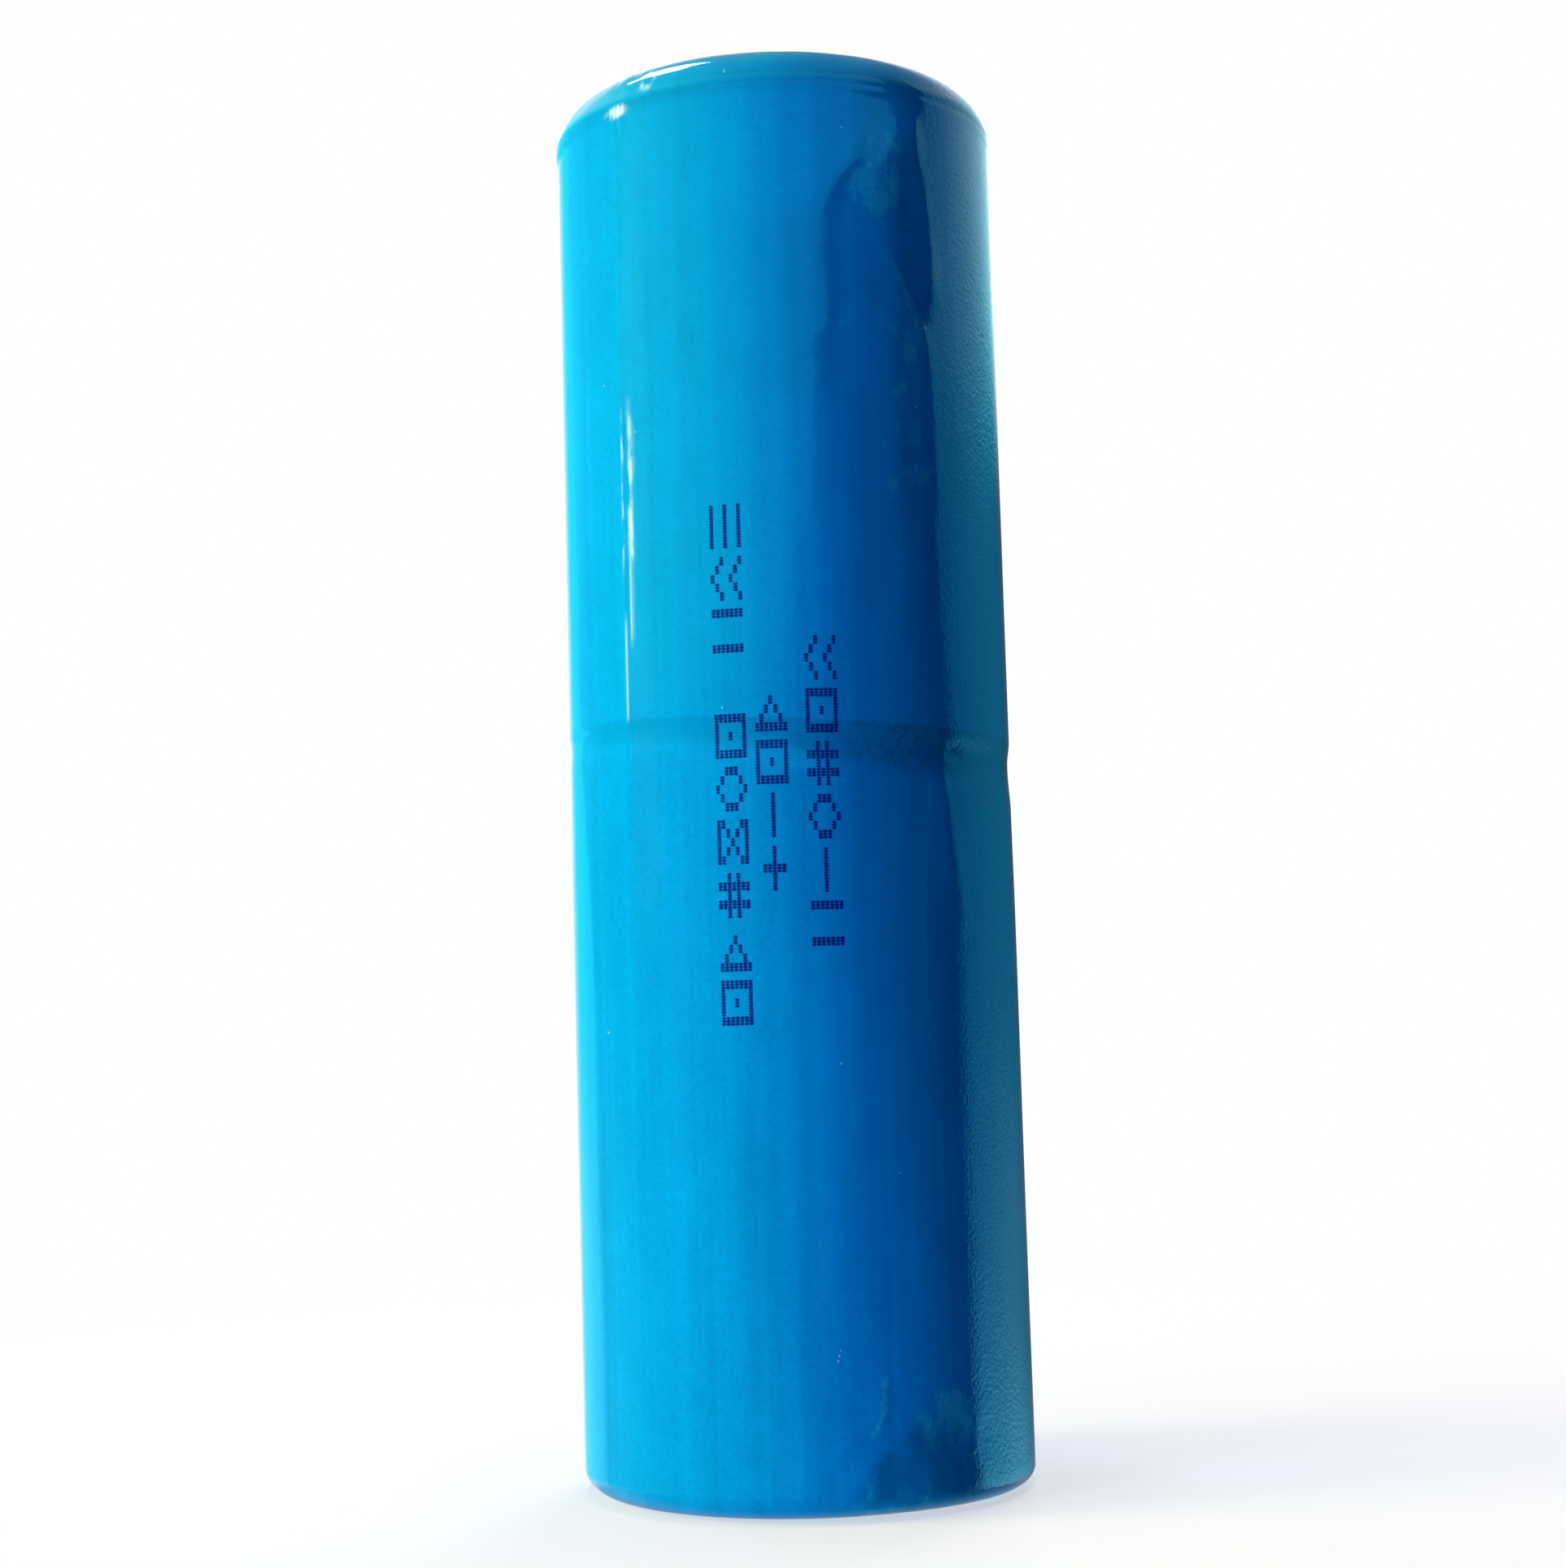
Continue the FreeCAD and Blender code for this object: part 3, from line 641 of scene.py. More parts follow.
class SleeveProps(bpy.types.PropertyGroup):
    film: bpy.props.FloatProperty(
        name="Film", description="Thickness of the shrunk film", default=SOLID_FILM, unit="LENGTH",
        precision=5)
    lip_radius: bpy.props.FloatProperty(
        name="Lip radius", description="Radius of the opening in each end", default=13.1 * MM,
        unit="LENGTH", precision=5)
    groove_depth: bpy.props.FloatProperty(
        name="Groove depth", description="Depth of the film over the joint", default=0.28 * MM,
        unit="LENGTH", precision=5)
    fold_angle: bpy.props.FloatProperty(
        name="Fold angle", description="Place of the lay-flat fold", default=math.radians(-43.5),
        unit="ROTATION")
    fold_height: bpy.props.FloatProperty(
        name="Fold height", description="Height of the lay-flat fold", default=0.05 * MM, unit="LENGTH",
        precision=5)
    colour: bpy.props.FloatVectorProperty(
        name="Film colour", description="Colour of the film", size=4, subtype="COLOR",
        default=(0.0, 0.335, 0.84, 1), min=0, max=1)


class BATTERY_OT_sleeve(bpy.types.Operator):
    """Shrinks the film tube over the stack, with its folds, joint groove and rolled-in ends"""
    bl_idname = "battery.sleeve"
    bl_label = "Heat-shrink sleeve"

    def execute(self, context):
        props = context.scene.battery_sleeve
        folds = (props.fold_angle, props.fold_angle + math.pi)
        theta = angle_samples(count=165, fold_angles=folds, extra=21, reach=math.radians(2.0))
        mesh = closed_tube("sleeve", sleeve_rings(theta, props), theta)
        # the film's painted light, shade, reflection and highlights are stored on its points
        for name, values in film_tones(mesh, props).items():
            stored = mesh.attributes.new(name, "FLOAT", "POINT")
            stored.data.foreach_set("value", np.clip(values, 0, 1))
        piece = new_piece("sleeve", mesh, film_material(tuple(props.colour)))
        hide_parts("outer_sleeve")
        return {"FINISHED"}


# ---------------------------------------------------------------- print on the barrel

INK_THICKNESS = 0.02 * MM

# Neutral marks on a grid of 5 columns along the axis and 7 rows round the barrel, with dots along each cell
MIDDLE_ROW = 3
DOTS_PER_CELL = 3
MARKS = {
    "target": ("#####", "#...#", "#...#", "#.#.#", "#...#", "#...#", "#####"),
    "waves": ("..#..", ".#.#.", "#...#", ".....", "..#..", ".#.#.", "#...#"),
    "plus": (".....", "..#..", "..#..", "#####", "..#..", "..#..", "....."),
    "minus": (".....", ".....", ".....", "#####", ".....", ".....", "....."),
    "rungs": ("#####", ".....", ".....", "#####", ".....", ".....", "#####"),
    "posts": ("#...#", "#...#", "#...#", "#...#", "#...#", "#...#", "#...#"),
    "diamond": ("..#..", ".#.#.", "#...#", "#...#", "#...#", ".#.#.", "..#.."),
    "glass": ("#####", "#...#", ".#.#.", "..#..", ".#.#.", "#...#", "#####"),
    "lattice": (".#.#.", ".#.#.", "#####", ".#.#.", "#####", ".#.#.", ".#.#."),
    "wedge": ("#....", "##...", "#.#..", "#..#.", "#.#..", "##...", "#...."),
}

# Each line: middle angle in degrees, lowest height in mm, and its marks; None leaves a gap
LINES = (
    (-14.3, 38.4, ("target", "wedge", "lattice", "glass", "diamond", "target", None,
                   "posts", "waves", "rungs")),
    (-4.3, 48.8, ("plus", "minus", "target", "wedge")),
    (8.0, 44.4, ("posts", "minus", "diamond", "lattice", "target", "waves")),
)


def print_dots(props):
    """Places of the dots, laid out flat: distance round the barrel and height."""
    dots = []
    for angle, lowest, names in LINES:
        for number, name in enumerate(names):
            if name is None:
                continue
            low = lowest * MM + number * props.pitch
            for row, line in enumerate(MARKS[name]):
                for column, cell in enumerate(line):
                    if cell != "#":
                        continue
                    around = math.radians(angle) * props.radius + (row - MIDDLE_ROW) * props.row_step
                    for dot in range(DOTS_PER_CELL):
                        dots.append((around, 0, low + (DOTS_PER_CELL * column + dot) * props.column_step))
    return dots


def group_inputs(tree, *sockets):
    """Named inputs of a modifier's tree, as (name, socket kind, default); returns the input node."""
    tree.interface.new_socket("Geometry", in_out="INPUT", socket_type="NodeSocketGeometry")
    for name, kind, default in sockets:
        socket = tree.interface.new_socket(name, in_out="INPUT", socket_type=kind)
        if default is not None:
            socket.default_value = default
    tree.interface.new_socket("Geometry", in_out="OUTPUT", socket_type="NodeSocketGeometry")
    return add(tree, "NodeGroupInput")


def enabled_output(node):
    """The output that a node's settings leave in use."""
    return [socket for socket in node.outputs if socket.enabled][0]


def random_value(tree, low, high, seed):
    """A number for each instance, between low and high."""
    node = add(tree, "FunctionNodeRandomValue", {"Min": low, "Max": high, "Seed": seed}, data_type="FLOAT")
    return enabled_output(node)


def grown(name, base, tree, values):
    """Runs a tree on a base mesh with its named inputs set, and returns the plain mesh it makes."""
    seed = bpy.data.objects.new(name + "_seed", base)
    bpy.context.scene.collection.objects.link(seed)
    modifier = seed.modifiers.new(name, "NODES")
    modifier.node_group = tree
    for item in tree.interface.items_tree:
        if item.item_type == "SOCKET" and item.in_out == "INPUT" and item.name in values:
            modifier[item.identifier] = values[item.name]
    graph = bpy.context.evaluated_depsgraph_get()
    graph.update()
    mesh = bpy.data.meshes.new_from_object(seed.evaluated_get(graph), depsgraph=graph)
    mesh.name = name
    seed.modifiers.remove(modifier)
    bpy.data.objects.remove(seed)
    if not mesh.polygons:
        raise RuntimeError(name + " came out empty")
    return mesh


def print_tree():
    """Wraps flat places round the barrel, drops them on the film and stamps a dot of ink at each."""
    tree = bpy.data.node_groups.new("print_dots", "GeometryNodeTree")
    given = group_inputs(
        tree, ("Film", "NodeSocketObject", None), ("Barrel Radius", "NodeSocketFloat", 0.0188),
        ("Dot Width", "NodeSocketFloat", 0.0003), ("Dot Height", "NodeSocketFloat", 0.0004),
        ("Ink Thickness", "NodeSocketFloat", 0.00002), ("Uneven", "NodeSocketFloat", 0.1),
        ("Seed", "NodeSocketInt", 7), ("Ink", "NodeSocketMaterial", None)).outputs
    film = add(tree, "GeometryNodeObjectInfo", {"Object": given["Film"]}, transform_space="RELATIVE")
    place = add(tree, "ShaderNodeSeparateXYZ", {0: add(tree, "GeometryNodeInputPosition").outputs[0]})
    angle = math_node(tree, "DIVIDE", place.outputs[0], given["Barrel Radius"])
    forward = math_node(tree, "MULTIPLY", math_node(tree, "COSINE", angle), -1.0)
    outward = add(tree, "ShaderNodeCombineXYZ", {0: math_node(tree, "SINE", angle), 1: forward})
    distance = math_node(tree, "MULTIPLY", given["Barrel Radius"], 1.2)
    far = add(tree, "ShaderNodeVectorMath", {0: outward.outputs[0], "Scale": distance}, operation="SCALE")
    lifted = add(tree, "ShaderNodeCombineXYZ", {2: place.outputs[2]})
    start = add(tree, "ShaderNodeVectorMath", {0: far.outputs[0], 1: lifted.outputs[0]}, operation="ADD")
    inward = add(tree, "ShaderNodeVectorMath", {0: outward.outputs[0], "Scale": -1.0}, operation="SCALE")
    cast = add(tree, "GeometryNodeRaycast", {
        "Target Geometry": film.outputs["Geometry"], "Source Position": start.outputs[0],
        "Ray Direction": inward.outputs[0], "Ray Length": 0.02})
    turn = add(tree, "FunctionNodeAxesToRotation", {
        "Primary Axis": cast.outputs["Hit Normal"], "Secondary Axis": (0, 0, 1)},
        primary_axis="Z", secondary_axis="Y")
    # the turn is worked out at the flat places and stored, because they move next
    kept = add(tree, "GeometryNodeStoreNamedAttribute", {
        "Geometry": given["Geometry"], "Name": "turn", "Value": turn.outputs[0]},
        data_type="QUATERNION", domain="POINT")
    moved = add(tree, "GeometryNodeSetPosition", {
        "Geometry": kept.outputs[0], "Position": cast.outputs["Hit Position"]})
    dot = add(tree, "GeometryNodeMeshCylinder", {"Vertices": 10, "Radius": 0.5, "Depth": 1.0})
    wobble = random_value(tree, math_node(tree, "SUBTRACT", 1.0, given["Uneven"]), 1.0, given["Seed"])
    size = add(tree, "ShaderNodeCombineXYZ", {
        0: math_node(tree, "MULTIPLY", given["Dot Height"], wobble),
        1: math_node(tree, "MULTIPLY", given["Dot Width"], wobble), 2: given["Ink Thickness"]})
    turned = add(tree, "GeometryNodeInputNamedAttribute", {"Name": "turn"}, data_type="QUATERNION")
    stamped = add(tree, "GeometryNodeInstanceOnPoints", {
        "Points": moved.outputs[0], "Instance": dot.outputs["Mesh"], "Rotation": enabled_output(turned),
        "Scale": size.outputs[0]})
    real = add(tree, "GeometryNodeRealizeInstances", {0: stamped.outputs[0]})
    inked = add(tree, "GeometryNodeSetMaterial", {"Geometry": real.outputs[0], "Material": given["Ink"]})
    add(tree, "NodeGroupOutput", {0: inked.outputs[0]})
    return tree


def ink_material(colour):
    """Thin dot-matrix ink: navy, a little starved in places."""
    material, tree, shader = new_material("ink")
    starved = remap(tree, object_noise(tree, 3800, detail=2), 0.45, 0.75, 0.0, 0.4)
    fill(tree, shader, {
        "Base Color": mixed_colour(tree, starved, tuple(colour), (0.0, 0.10, 0.42, 1)),
        "Roughness": noise_to(tree, object_noise(tree, 900), 0.25, 0.45),
        "Normal": bump(tree, object_noise(tree, 6000), 0.004 * MM),
        "Specular Tint": (0.12, 0.75, 1.0, 1)})
    return material


class PrintProps(bpy.types.PropertyGroup):
    radius: bpy.props.FloatProperty(
        name="Barrel radius", description="Radius on which the lines are spaced", default=18.8 * MM,
        unit="LENGTH", precision=5)
    pitch: bpy.props.FloatProperty(
        name="Pitch", description="Distance from one mark to the next", default=4.19 * MM, unit="LENGTH",
        precision=5)
    column_step: bpy.props.FloatProperty(
        name="Column step", description="Distance between dots along the axis", default=0.236 * MM,
        unit="LENGTH", precision=6)
    row_step: bpy.props.FloatProperty(
        name="Row step", description="Distance between dots round the barrel", default=0.372 * MM,
        unit="LENGTH", precision=6)
    dot_width: bpy.props.FloatProperty(
        name="Dot width", description="Size of a dot along the axis", default=0.262 * MM, unit="LENGTH",
        precision=6)
    dot_height: bpy.props.FloatProperty(
        name="Dot height", description="Size of a dot round the barrel", default=0.38 * MM, unit="LENGTH",
        precision=6)
    colour: bpy.props.FloatVectorProperty(
        name="Ink colour", description="Colour of the print", size=4, subtype="COLOR",
        default=(0.002, 0.010, 0.20, 1), min=0, max=1)


class BATTERY_OT_print(bpy.types.Operator):
    """Prints three lines of neutral dot-matrix marks along the barrel"""
    bl_idname = "battery.print"
    bl_label = "Dot-matrix print"

    def execute(self, context):
        props = context.scene.battery_print
        places = bpy.data.meshes.new("print_places")
        places.from_pydata(print_dots(props), [], [])
        ink = ink_material(props.colour)
        mesh = grown("print", places, print_tree(), {
            "Film": bpy.data.objects["sleeve"], "Barrel Radius": props.radius, "Dot Width": props.dot_width,
            "Dot Height": props.dot_height, "Ink Thickness": INK_THICKNESS, "Uneven": 0.12, "Seed": 7,
            "Ink": ink})
        new_piece("print", mesh, ink)
        return {"FINISHED"}


# ---------------------------------------------------------------- dust

def dust_tree():
    """Scatters grains, flattened and turned at random, over the film's outer wall."""
    tree = bpy.data.node_groups.new("dust", "GeometryNodeTree")
    given = group_inputs(
        tree, ("Film", "NodeSocketObject", None), ("Grains Per Area", "NodeSocketFloat", 2000.0),
        ("Smallest", "NodeSocketFloat", 0.00005), ("Largest", "NodeSocketFloat", 0.00015),
        ("Wall Radius", "NodeSocketFloat", 0.0185), ("Seed", "NodeSocketInt", 3),
        ("Grain", "NodeSocketMaterial", None)).outputs
    film = add(tree, "GeometryNodeObjectInfo", {"Object": given["Film"]}, transform_space="RELATIVE")
    place = add(tree, "ShaderNodeSeparateXYZ", {0: add(tree, "GeometryNodeInputPosition").outputs[0]})
    squares = [math_node(tree, "POWER", place.outputs[axis], 2.0) for axis in (0, 1)]
    reach = math_node(tree, "SQRT", math_node(tree, "ADD", *squares))
    outer = add(tree, "FunctionNodeCompare", {"A": reach, "B": given["Wall Radius"]}, data_type="FLOAT",
                operation="GREATER_THAN")
    points = add(tree, "GeometryNodeDistributePointsOnFaces", {
        "Mesh": film.outputs["Geometry"], "Selection": outer.outputs[0], "Density": given["Grains Per Area"],
        "Seed": given["Seed"]})
    grain = add(tree, "GeometryNodeMeshIcoSphere", {"Radius": 0.5, "Subdivisions": 1})
    spin = random_value(tree, 0.0, math.tau, 5)
    local = add(tree, "FunctionNodeAxisAngleToRotation", {"Axis": (0, 0, 1), "Angle": spin})
    turn = add(tree, "FunctionNodeRotateRotation", {
        "Rotation": points.outputs["Rotation"], "Rotate By": local.outputs[0]}, rotation_space="LOCAL")
    size = random_value(tree, given["Smallest"], given["Largest"], 9)
    longer = math_node(tree, "POWER", random_value(tree, 1.0, 2.4, 11), 1.6)
    scale = add(tree, "ShaderNodeCombineXYZ", {
        0: math_node(tree, "MULTIPLY", size, longer), 1: size, 2: math_node(tree, "MULTIPLY", size, 0.4)})
    laid = add(tree, "GeometryNodeInstanceOnPoints", {
        "Points": points.outputs["Points"], "Instance": grain.outputs["Mesh"], "Rotation": turn.outputs[0],
        "Scale": scale.outputs[0]})
    real = add(tree, "GeometryNodeRealizeInstances", {0: laid.outputs[0]})
    coated = add(tree, "GeometryNodeSetMaterial", {"Geometry": real.outputs[0], "Material": given["Grain"]})
    add(tree, "NodeGroupOutput", {0: coated.outputs[0]})
    return tree


def dust_material():
    """Pale lint and dust, speckled."""
    material, tree, shader = new_material("dust")
    speckle = object_noise(tree, 9000)
    fill(tree, shader, {
        "Base Color": mixed_colour(tree, speckle, (0.22, 0.62, 0.80, 1), (0.50, 0.86, 0.95, 1)),
        "Roughness": 0.8, "Normal": bump(tree, object_noise(tree, 20000), 0.01 * MM)})
    return material


# Larger specks: angle in degrees, height and size in mm
SPECKS = (
    (-16.1, 63.3, 0.14), (-54.3, 38.0, 0.22), (10.2, 35.1, 0.20), (50.6, 20.4, 0.34), (39.7, 94.4, 0.30),
    (24.0, 26.5, 0.12), (-50.0, 91.0, 0.14), (7.4, 12.4, 0.16), (7.7, 12.8, 0.20), (8.0, 13.2, 0.14),
)


class DustProps(bpy.types.PropertyGroup):
    density: bpy.props.FloatProperty(
        name="Grains", description="Grains per square metre of film", default=2300, min=0)
    largest: bpy.props.FloatProperty(
        name="Largest grain", description="Width of the largest grain", default=0.16 * MM, unit="LENGTH",
        precision=6)
    seed: bpy.props.IntProperty(
        name="Seed", description="Arrangement of the grains", default=3)


class BATTERY_OT_dust(bpy.types.Operator):
    """Scatters a few dust grains over the film"""
    bl_idname = "battery.dust"
    bl_label = "Dust"

    def execute(self, context):
        props = context.scene.battery_dust
        film = bpy.data.objects["sleeve"]
        grain = dust_material()
        mesh = grown("dust", bpy.data.meshes.new("dust_base"), dust_tree(), {
            "Film": film, "Grains Per Area": props.density, "Smallest": 0.3 * props.largest,
            "Largest": props.largest, "Wall Radius": CAN_RADIUS, "Seed": props.seed, "Grain": grain})
        new_piece("dust", mesh, grain)
        for number, (angle, height, width) in enumerate(SPECKS):
            name = "speck_%02d" % number
            place = bpy.data.meshes.new("speck_place")
            place.from_pydata([(math.radians(angle) * CAN_RADIUS, 0, height * MM)], [], [])
            speck = grown(name, place, print_tree(), {
                "Film": film, "Barrel Radius": CAN_RADIUS,
                "Dot Width": 1.3 * width * MM, "Dot Height": 0.8 * width * MM, "Ink Thickness": 0.03 * MM,
                "Uneven": 0.3, "Seed": number, "Ink": grain})
            new_piece(name, speck, grain)
        return {"FINISHED"}


# ---------------------------------------------------------------- finishes of the solid pieces

def drift(tree, scale, stretch=(1, 1, 1)):
    """Noise between 0 and 1."""
    return noise_to(tree, object_noise(tree, scale, stretch, 3), 0.0, 1.0)


def varied(tree, share, colour, spread):
    """Colour between a darker and a lighter one of itself."""
    return mixed_colour(tree, share, shaded(colour, 1 - spread), shaded(colour, 1 + spread))


def rough_between(tree, low, high, scale, stretch=(1, 1, 1)):
    """Roughness that drifts between two values."""
    return noise_to(tree, object_noise(tree, scale, stretch, 3), low, high)


def plated_metal(name, colour, low, high, grain, lay=(1, 1, 1), spots=0.0):
    """Plated or rolled metal: the lay of the sheet, rubbed patches and, where wanted, dull spots."""
    material, tree, shader = new_material(name)
    patches = drift(tree, grain * 0.2)
    base = varied(tree, patches, colour, 0.07)
    if spots:
        stain = remap(tree, object_noise(tree, 330, detail=6), 0.52, 0.78, 0.0, spots)
        base = mixed_colour(tree, stain, base, shaded(colour, 0.72))
    normal = bump(tree, object_noise(tree, grain * 3, lay, 2), 0.006 * MM)
    fill(tree, shader, {
        "Metallic": 1.0, "Base Color": base, "Roughness": rough_between(tree, low, high, grain * 0.5, lay),
        "Normal": bump(tree, patches, 0.02 * MM, normal=normal)})
    return material


def moulded_plastic(name, colour, low, high, texture, spread=0.05, clear=0.0, soft=0.0):
    """Moulded plastic: flow marks, fine spark texture and a little light passing through where wanted."""
    material, tree, shader = new_material(name)
    normal = bump(tree, object_noise(tree, 3600, detail=2), texture * MM)
    fill(tree, shader, {
        "Base Color": varied(tree, drift(tree, 160, (1, 1, 0.5)), colour, spread),
        "Roughness": rough_between(tree, low, high, 500),
        "Normal": bump(tree, object_noise(tree, 240), 0.03 * MM, normal=normal),
        "Transmission Weight": clear, "Subsurface Weight": soft, "Subsurface Scale": 0.4 * MM})
    return material


def pressed_board(name, colour):
    """Vulcanised fibre: mottled, with short fibres."""
    material, tree, shader = new_material(name)
    fibres = object_noise(tree, 1500, (1, 0.15, 1), 4)
    mottle = remap(tree, object_noise(tree, 300, detail=4), 0.35, 0.65, 0.0, 0.4)
    share = math_node(tree, "ADD", remap(tree, fibres, 0.35, 0.65, 0.0, 0.6), mottle)
    fill(tree, shader, {
        "Base Color": mixed_colour(tree, share, shaded(colour, 0.82), shaded(colour, 1.12)),
        "Roughness": 0.7,
        "Normal": bump(tree, fibres, 0.02 * MM)})
    return material


def cells(tree, scale, low, high):
    """Distance from the middles of small cells, from 0 at low to 1 at high."""
    coordinates = add(tree, "ShaderNodeTexCoord")
    voronoi = add(tree, "ShaderNodeTexVoronoi", {"Vector": coordinates.outputs["Object"], "Scale": scale})
    return remap(tree, voronoi.outputs["Distance"], low, high, 0.0, 1.0)


def sealing_glass(name, colour):
    """Dark green sealing glass with small bubbles."""
    material, tree, shader = new_material(name)
    fill(tree, shader, {
        "Base Color": varied(tree, drift(tree, 700), colour, 0.2),
        "Roughness": 0.06, "Transmission Weight": 0.25,
        "Normal": bump(tree, cells(tree, 2600.0, 0.0, 0.28), 0.02 * MM)})
    return material


def grainy_strip(name, colour, grain, depth, low, high, spread=0.25):
    """Coated or rolled strip: a fine grain with darker and lighter specks."""
    material, tree, shader = new_material(name)
    specks = cells(tree, grain, 0.1, 0.7)
    share = math_node(tree, "ADD", math_node(tree, "MULTIPLY", specks, 0.5),
                      math_node(tree, "MULTIPLY", object_noise(tree, grain * 0.2, detail=4), 0.5))
    fill(tree, shader, {
        "Base Color": varied(tree, share, colour, spread),
        "Roughness": rough_between(tree, low, high, grain * 0.1),
        "Normal": bump(tree, specks, depth * MM)})
    return material


def finish_table():
    """Material of every slot in the record except the film's."""
    return {
        "ring_moulding": moulded_plastic("ring_moulding", (0.80, 0.78, 0.71), 0.38, 0.5, 0.006, soft=0.15),
        "spacer_moulding": moulded_plastic("spacer_moulding", (0.042, 0.042, 0.047), 0.42, 0.58, 0.012, 0.2),
        "nickel_plate": plated_metal("nickel_plate", (0.70, 0.68, 0.63), 0.20, 0.34, 700, spots=0.5),
        "nickel_ribbon": plated_metal("nickel_ribbon", (0.66, 0.65, 0.62), 0.24, 0.36, 900, (1, 0.06, 1)),
        "fish_paper": pressed_board("fish_paper", (0.40, 0.47, 0.43)),
        "fuse_body": moulded_plastic("fuse_body", (0.78, 0.76, 0.68), 0.15, 0.25, 0.004, 0.06),
        "can_steel": plated_metal("can_steel", (0.62, 0.62, 0.61), 0.28, 0.42, 600, (1, 1, 0.05)),
        "seal_glass": sealing_glass("seal_glass", (0.06, 0.22, 0.20)),
        "pin_alloy": plated_metal("pin_alloy", (0.52, 0.52, 0.52), 0.3, 0.45, 1600, (1, 1, 0.1)),
        "clear_insulator": moulded_plastic("clear_insulator", (0.88, 0.89, 0.88), 0.3, 0.4, 0.008, 0.03,
                                           clear=0.3),
        "tab_aluminium": plated_metal("tab_aluminium", (0.78, 0.79, 0.81), 0.3, 0.45, 1100, (1, 1, 0.08)),
        "separator_film": grainy_strip("separator_film", (0.90, 0.90, 0.90), 9000, 0.003, 0.5, 0.65, 0.06),
        "carbon_cathode": grainy_strip("carbon_cathode", (0.03, 0.03, 0.03), 6000, 0.02, 0.75, 0.95, 0.45),
        "lithium_foil": grainy_strip("lithium_foil", (0.58, 0.58, 0.60), 1500, 0.006, 0.35, 0.6, 0.15),
        "wound_electrodes": grainy_strip("wound_electrodes", (0.10, 0.10, 0.105), 3000, 0.01, 0.55, 0.8, 0.3),
    }


# Pieces of each slot that are shown as their own solid
SOLIDS = {
    "ring_moulding": ("top_ring",),
    "spacer_moulding": ("end_spacer",),
    "nickel_plate": ("positive_contact", "negative_contact"),
    "nickel_ribbon": ("positive_lead", "series_strap", "fuse_can_lead", "fuse_contact_lead",
                      "lower_anode_tab", "upper_anode_tab"),
    "fish_paper": ("positive_washer", "intercell_disc"),
    "fuse_body": ("thermal_fuse",),
    "can_steel": ("lower_can", "upper_can", "lower_cover", "upper_cover"),
    "seal_glass": ("lower_glass_seal", "upper_glass_seal"),
    "pin_alloy": ("lower_center_pin", "upper_center_pin"),
    "clear_insulator": ("lower_top_insulator", "upper_top_insulator", "lower_base_pad", "upper_base_pad"),
    "tab_aluminium": ("lower_cathode_tab", "upper_cathode_tab"),
    "separator_film": ("lower_separator_wrap", "upper_separator_wrap"),
    "carbon_cathode": ("upper_cathode_strip",),
    "lithium_foil": ("upper_lithium_strip",),
    "wound_electrodes": ("lower_wound_roll",),
}


def dress(solid, material):
    """Gives a solid its finish and leaves its shape alone."""
    slots = bpy.data.objects[solid].material_slots
    if not slots:
        bpy.data.objects[solid].data.materials.append(material)
    for slot in slots:
        slot.material = material


class BATTERY_OT_solids(bpy.types.Operator):
    """Finishes the contacts, ring, spacer, cans, rolls, leads and insulators, which stay as their solids"""
    bl_idname = "battery.solids"
    bl_label = "Solid pieces"

    def execute(self, context):
        finishes = finish_table()
        for slot, names in SOLIDS.items():
            for name in names:
                dress(name, finishes[slot])
        return {"FINISHED"}


# ---------------------------------------------------------------- studio

class StageProps(bpy.types.PropertyGroup):
    side_light: bpy.props.FloatProperty(
        name="Side light", description="Light on a face turned to the left lamp", default=1.12, min=0)
    front_light: bpy.props.FloatProperty(
        name="Front light", description="Light on a face turned to the front lamp", default=0.70, min=0)
    back_light: bpy.props.FloatProperty(
        name="Back light", description="Light on a face turned to the back lamp", default=0.8, min=0)
    back_left_light: bpy.props.FloatProperty(
        name="Back left light", description="Cool light from behind on the left", default=0.38, min=0)
    top_light: bpy.props.FloatProperty(
        name="Top light", description="Light that the top lamp gives the floor", default=0.34, min=0)
    under_light: bpy.props.FloatProperty(
        name="Under light", description="Light on the face that stands on the floor", default=0.5, min=0)
    bounce_light: bpy.props.FloatProperty(
        name="Bounce light", description="Light thrown up in front by the floor", default=0.085, min=0)
    fill: bpy.props.FloatProperty(
        name="Fill", description="Strength of the world's diffuse light", default=0.12, min=0)
    camera_distance: bpy.props.FloatProperty(
        name="Camera distance", description="From the battery's axis", default=217.1 * MM, unit="LENGTH")
    camera_height: bpy.props.FloatProperty(
        name="Camera height", description="Above the floor", default=38.5 * MM, unit="LENGTH")
    camera_tilt: bpy.props.FloatProperty(
        name="Camera tilt", description="Upwards from level", default=math.radians(5.34), unit="ROTATION")
    camera_roll: bpy.props.FloatProperty(
        name="Camera roll", description="Roll about the line of sight", default=math.radians(-1.62),
        unit="ROTATION")
    camera_yaw: bpy.props.FloatProperty(
        name="Camera yaw", description="Turn to the left", default=math.radians(0.17), unit="ROTATION")


WHITE = (1.0, 1.0, 1.0)

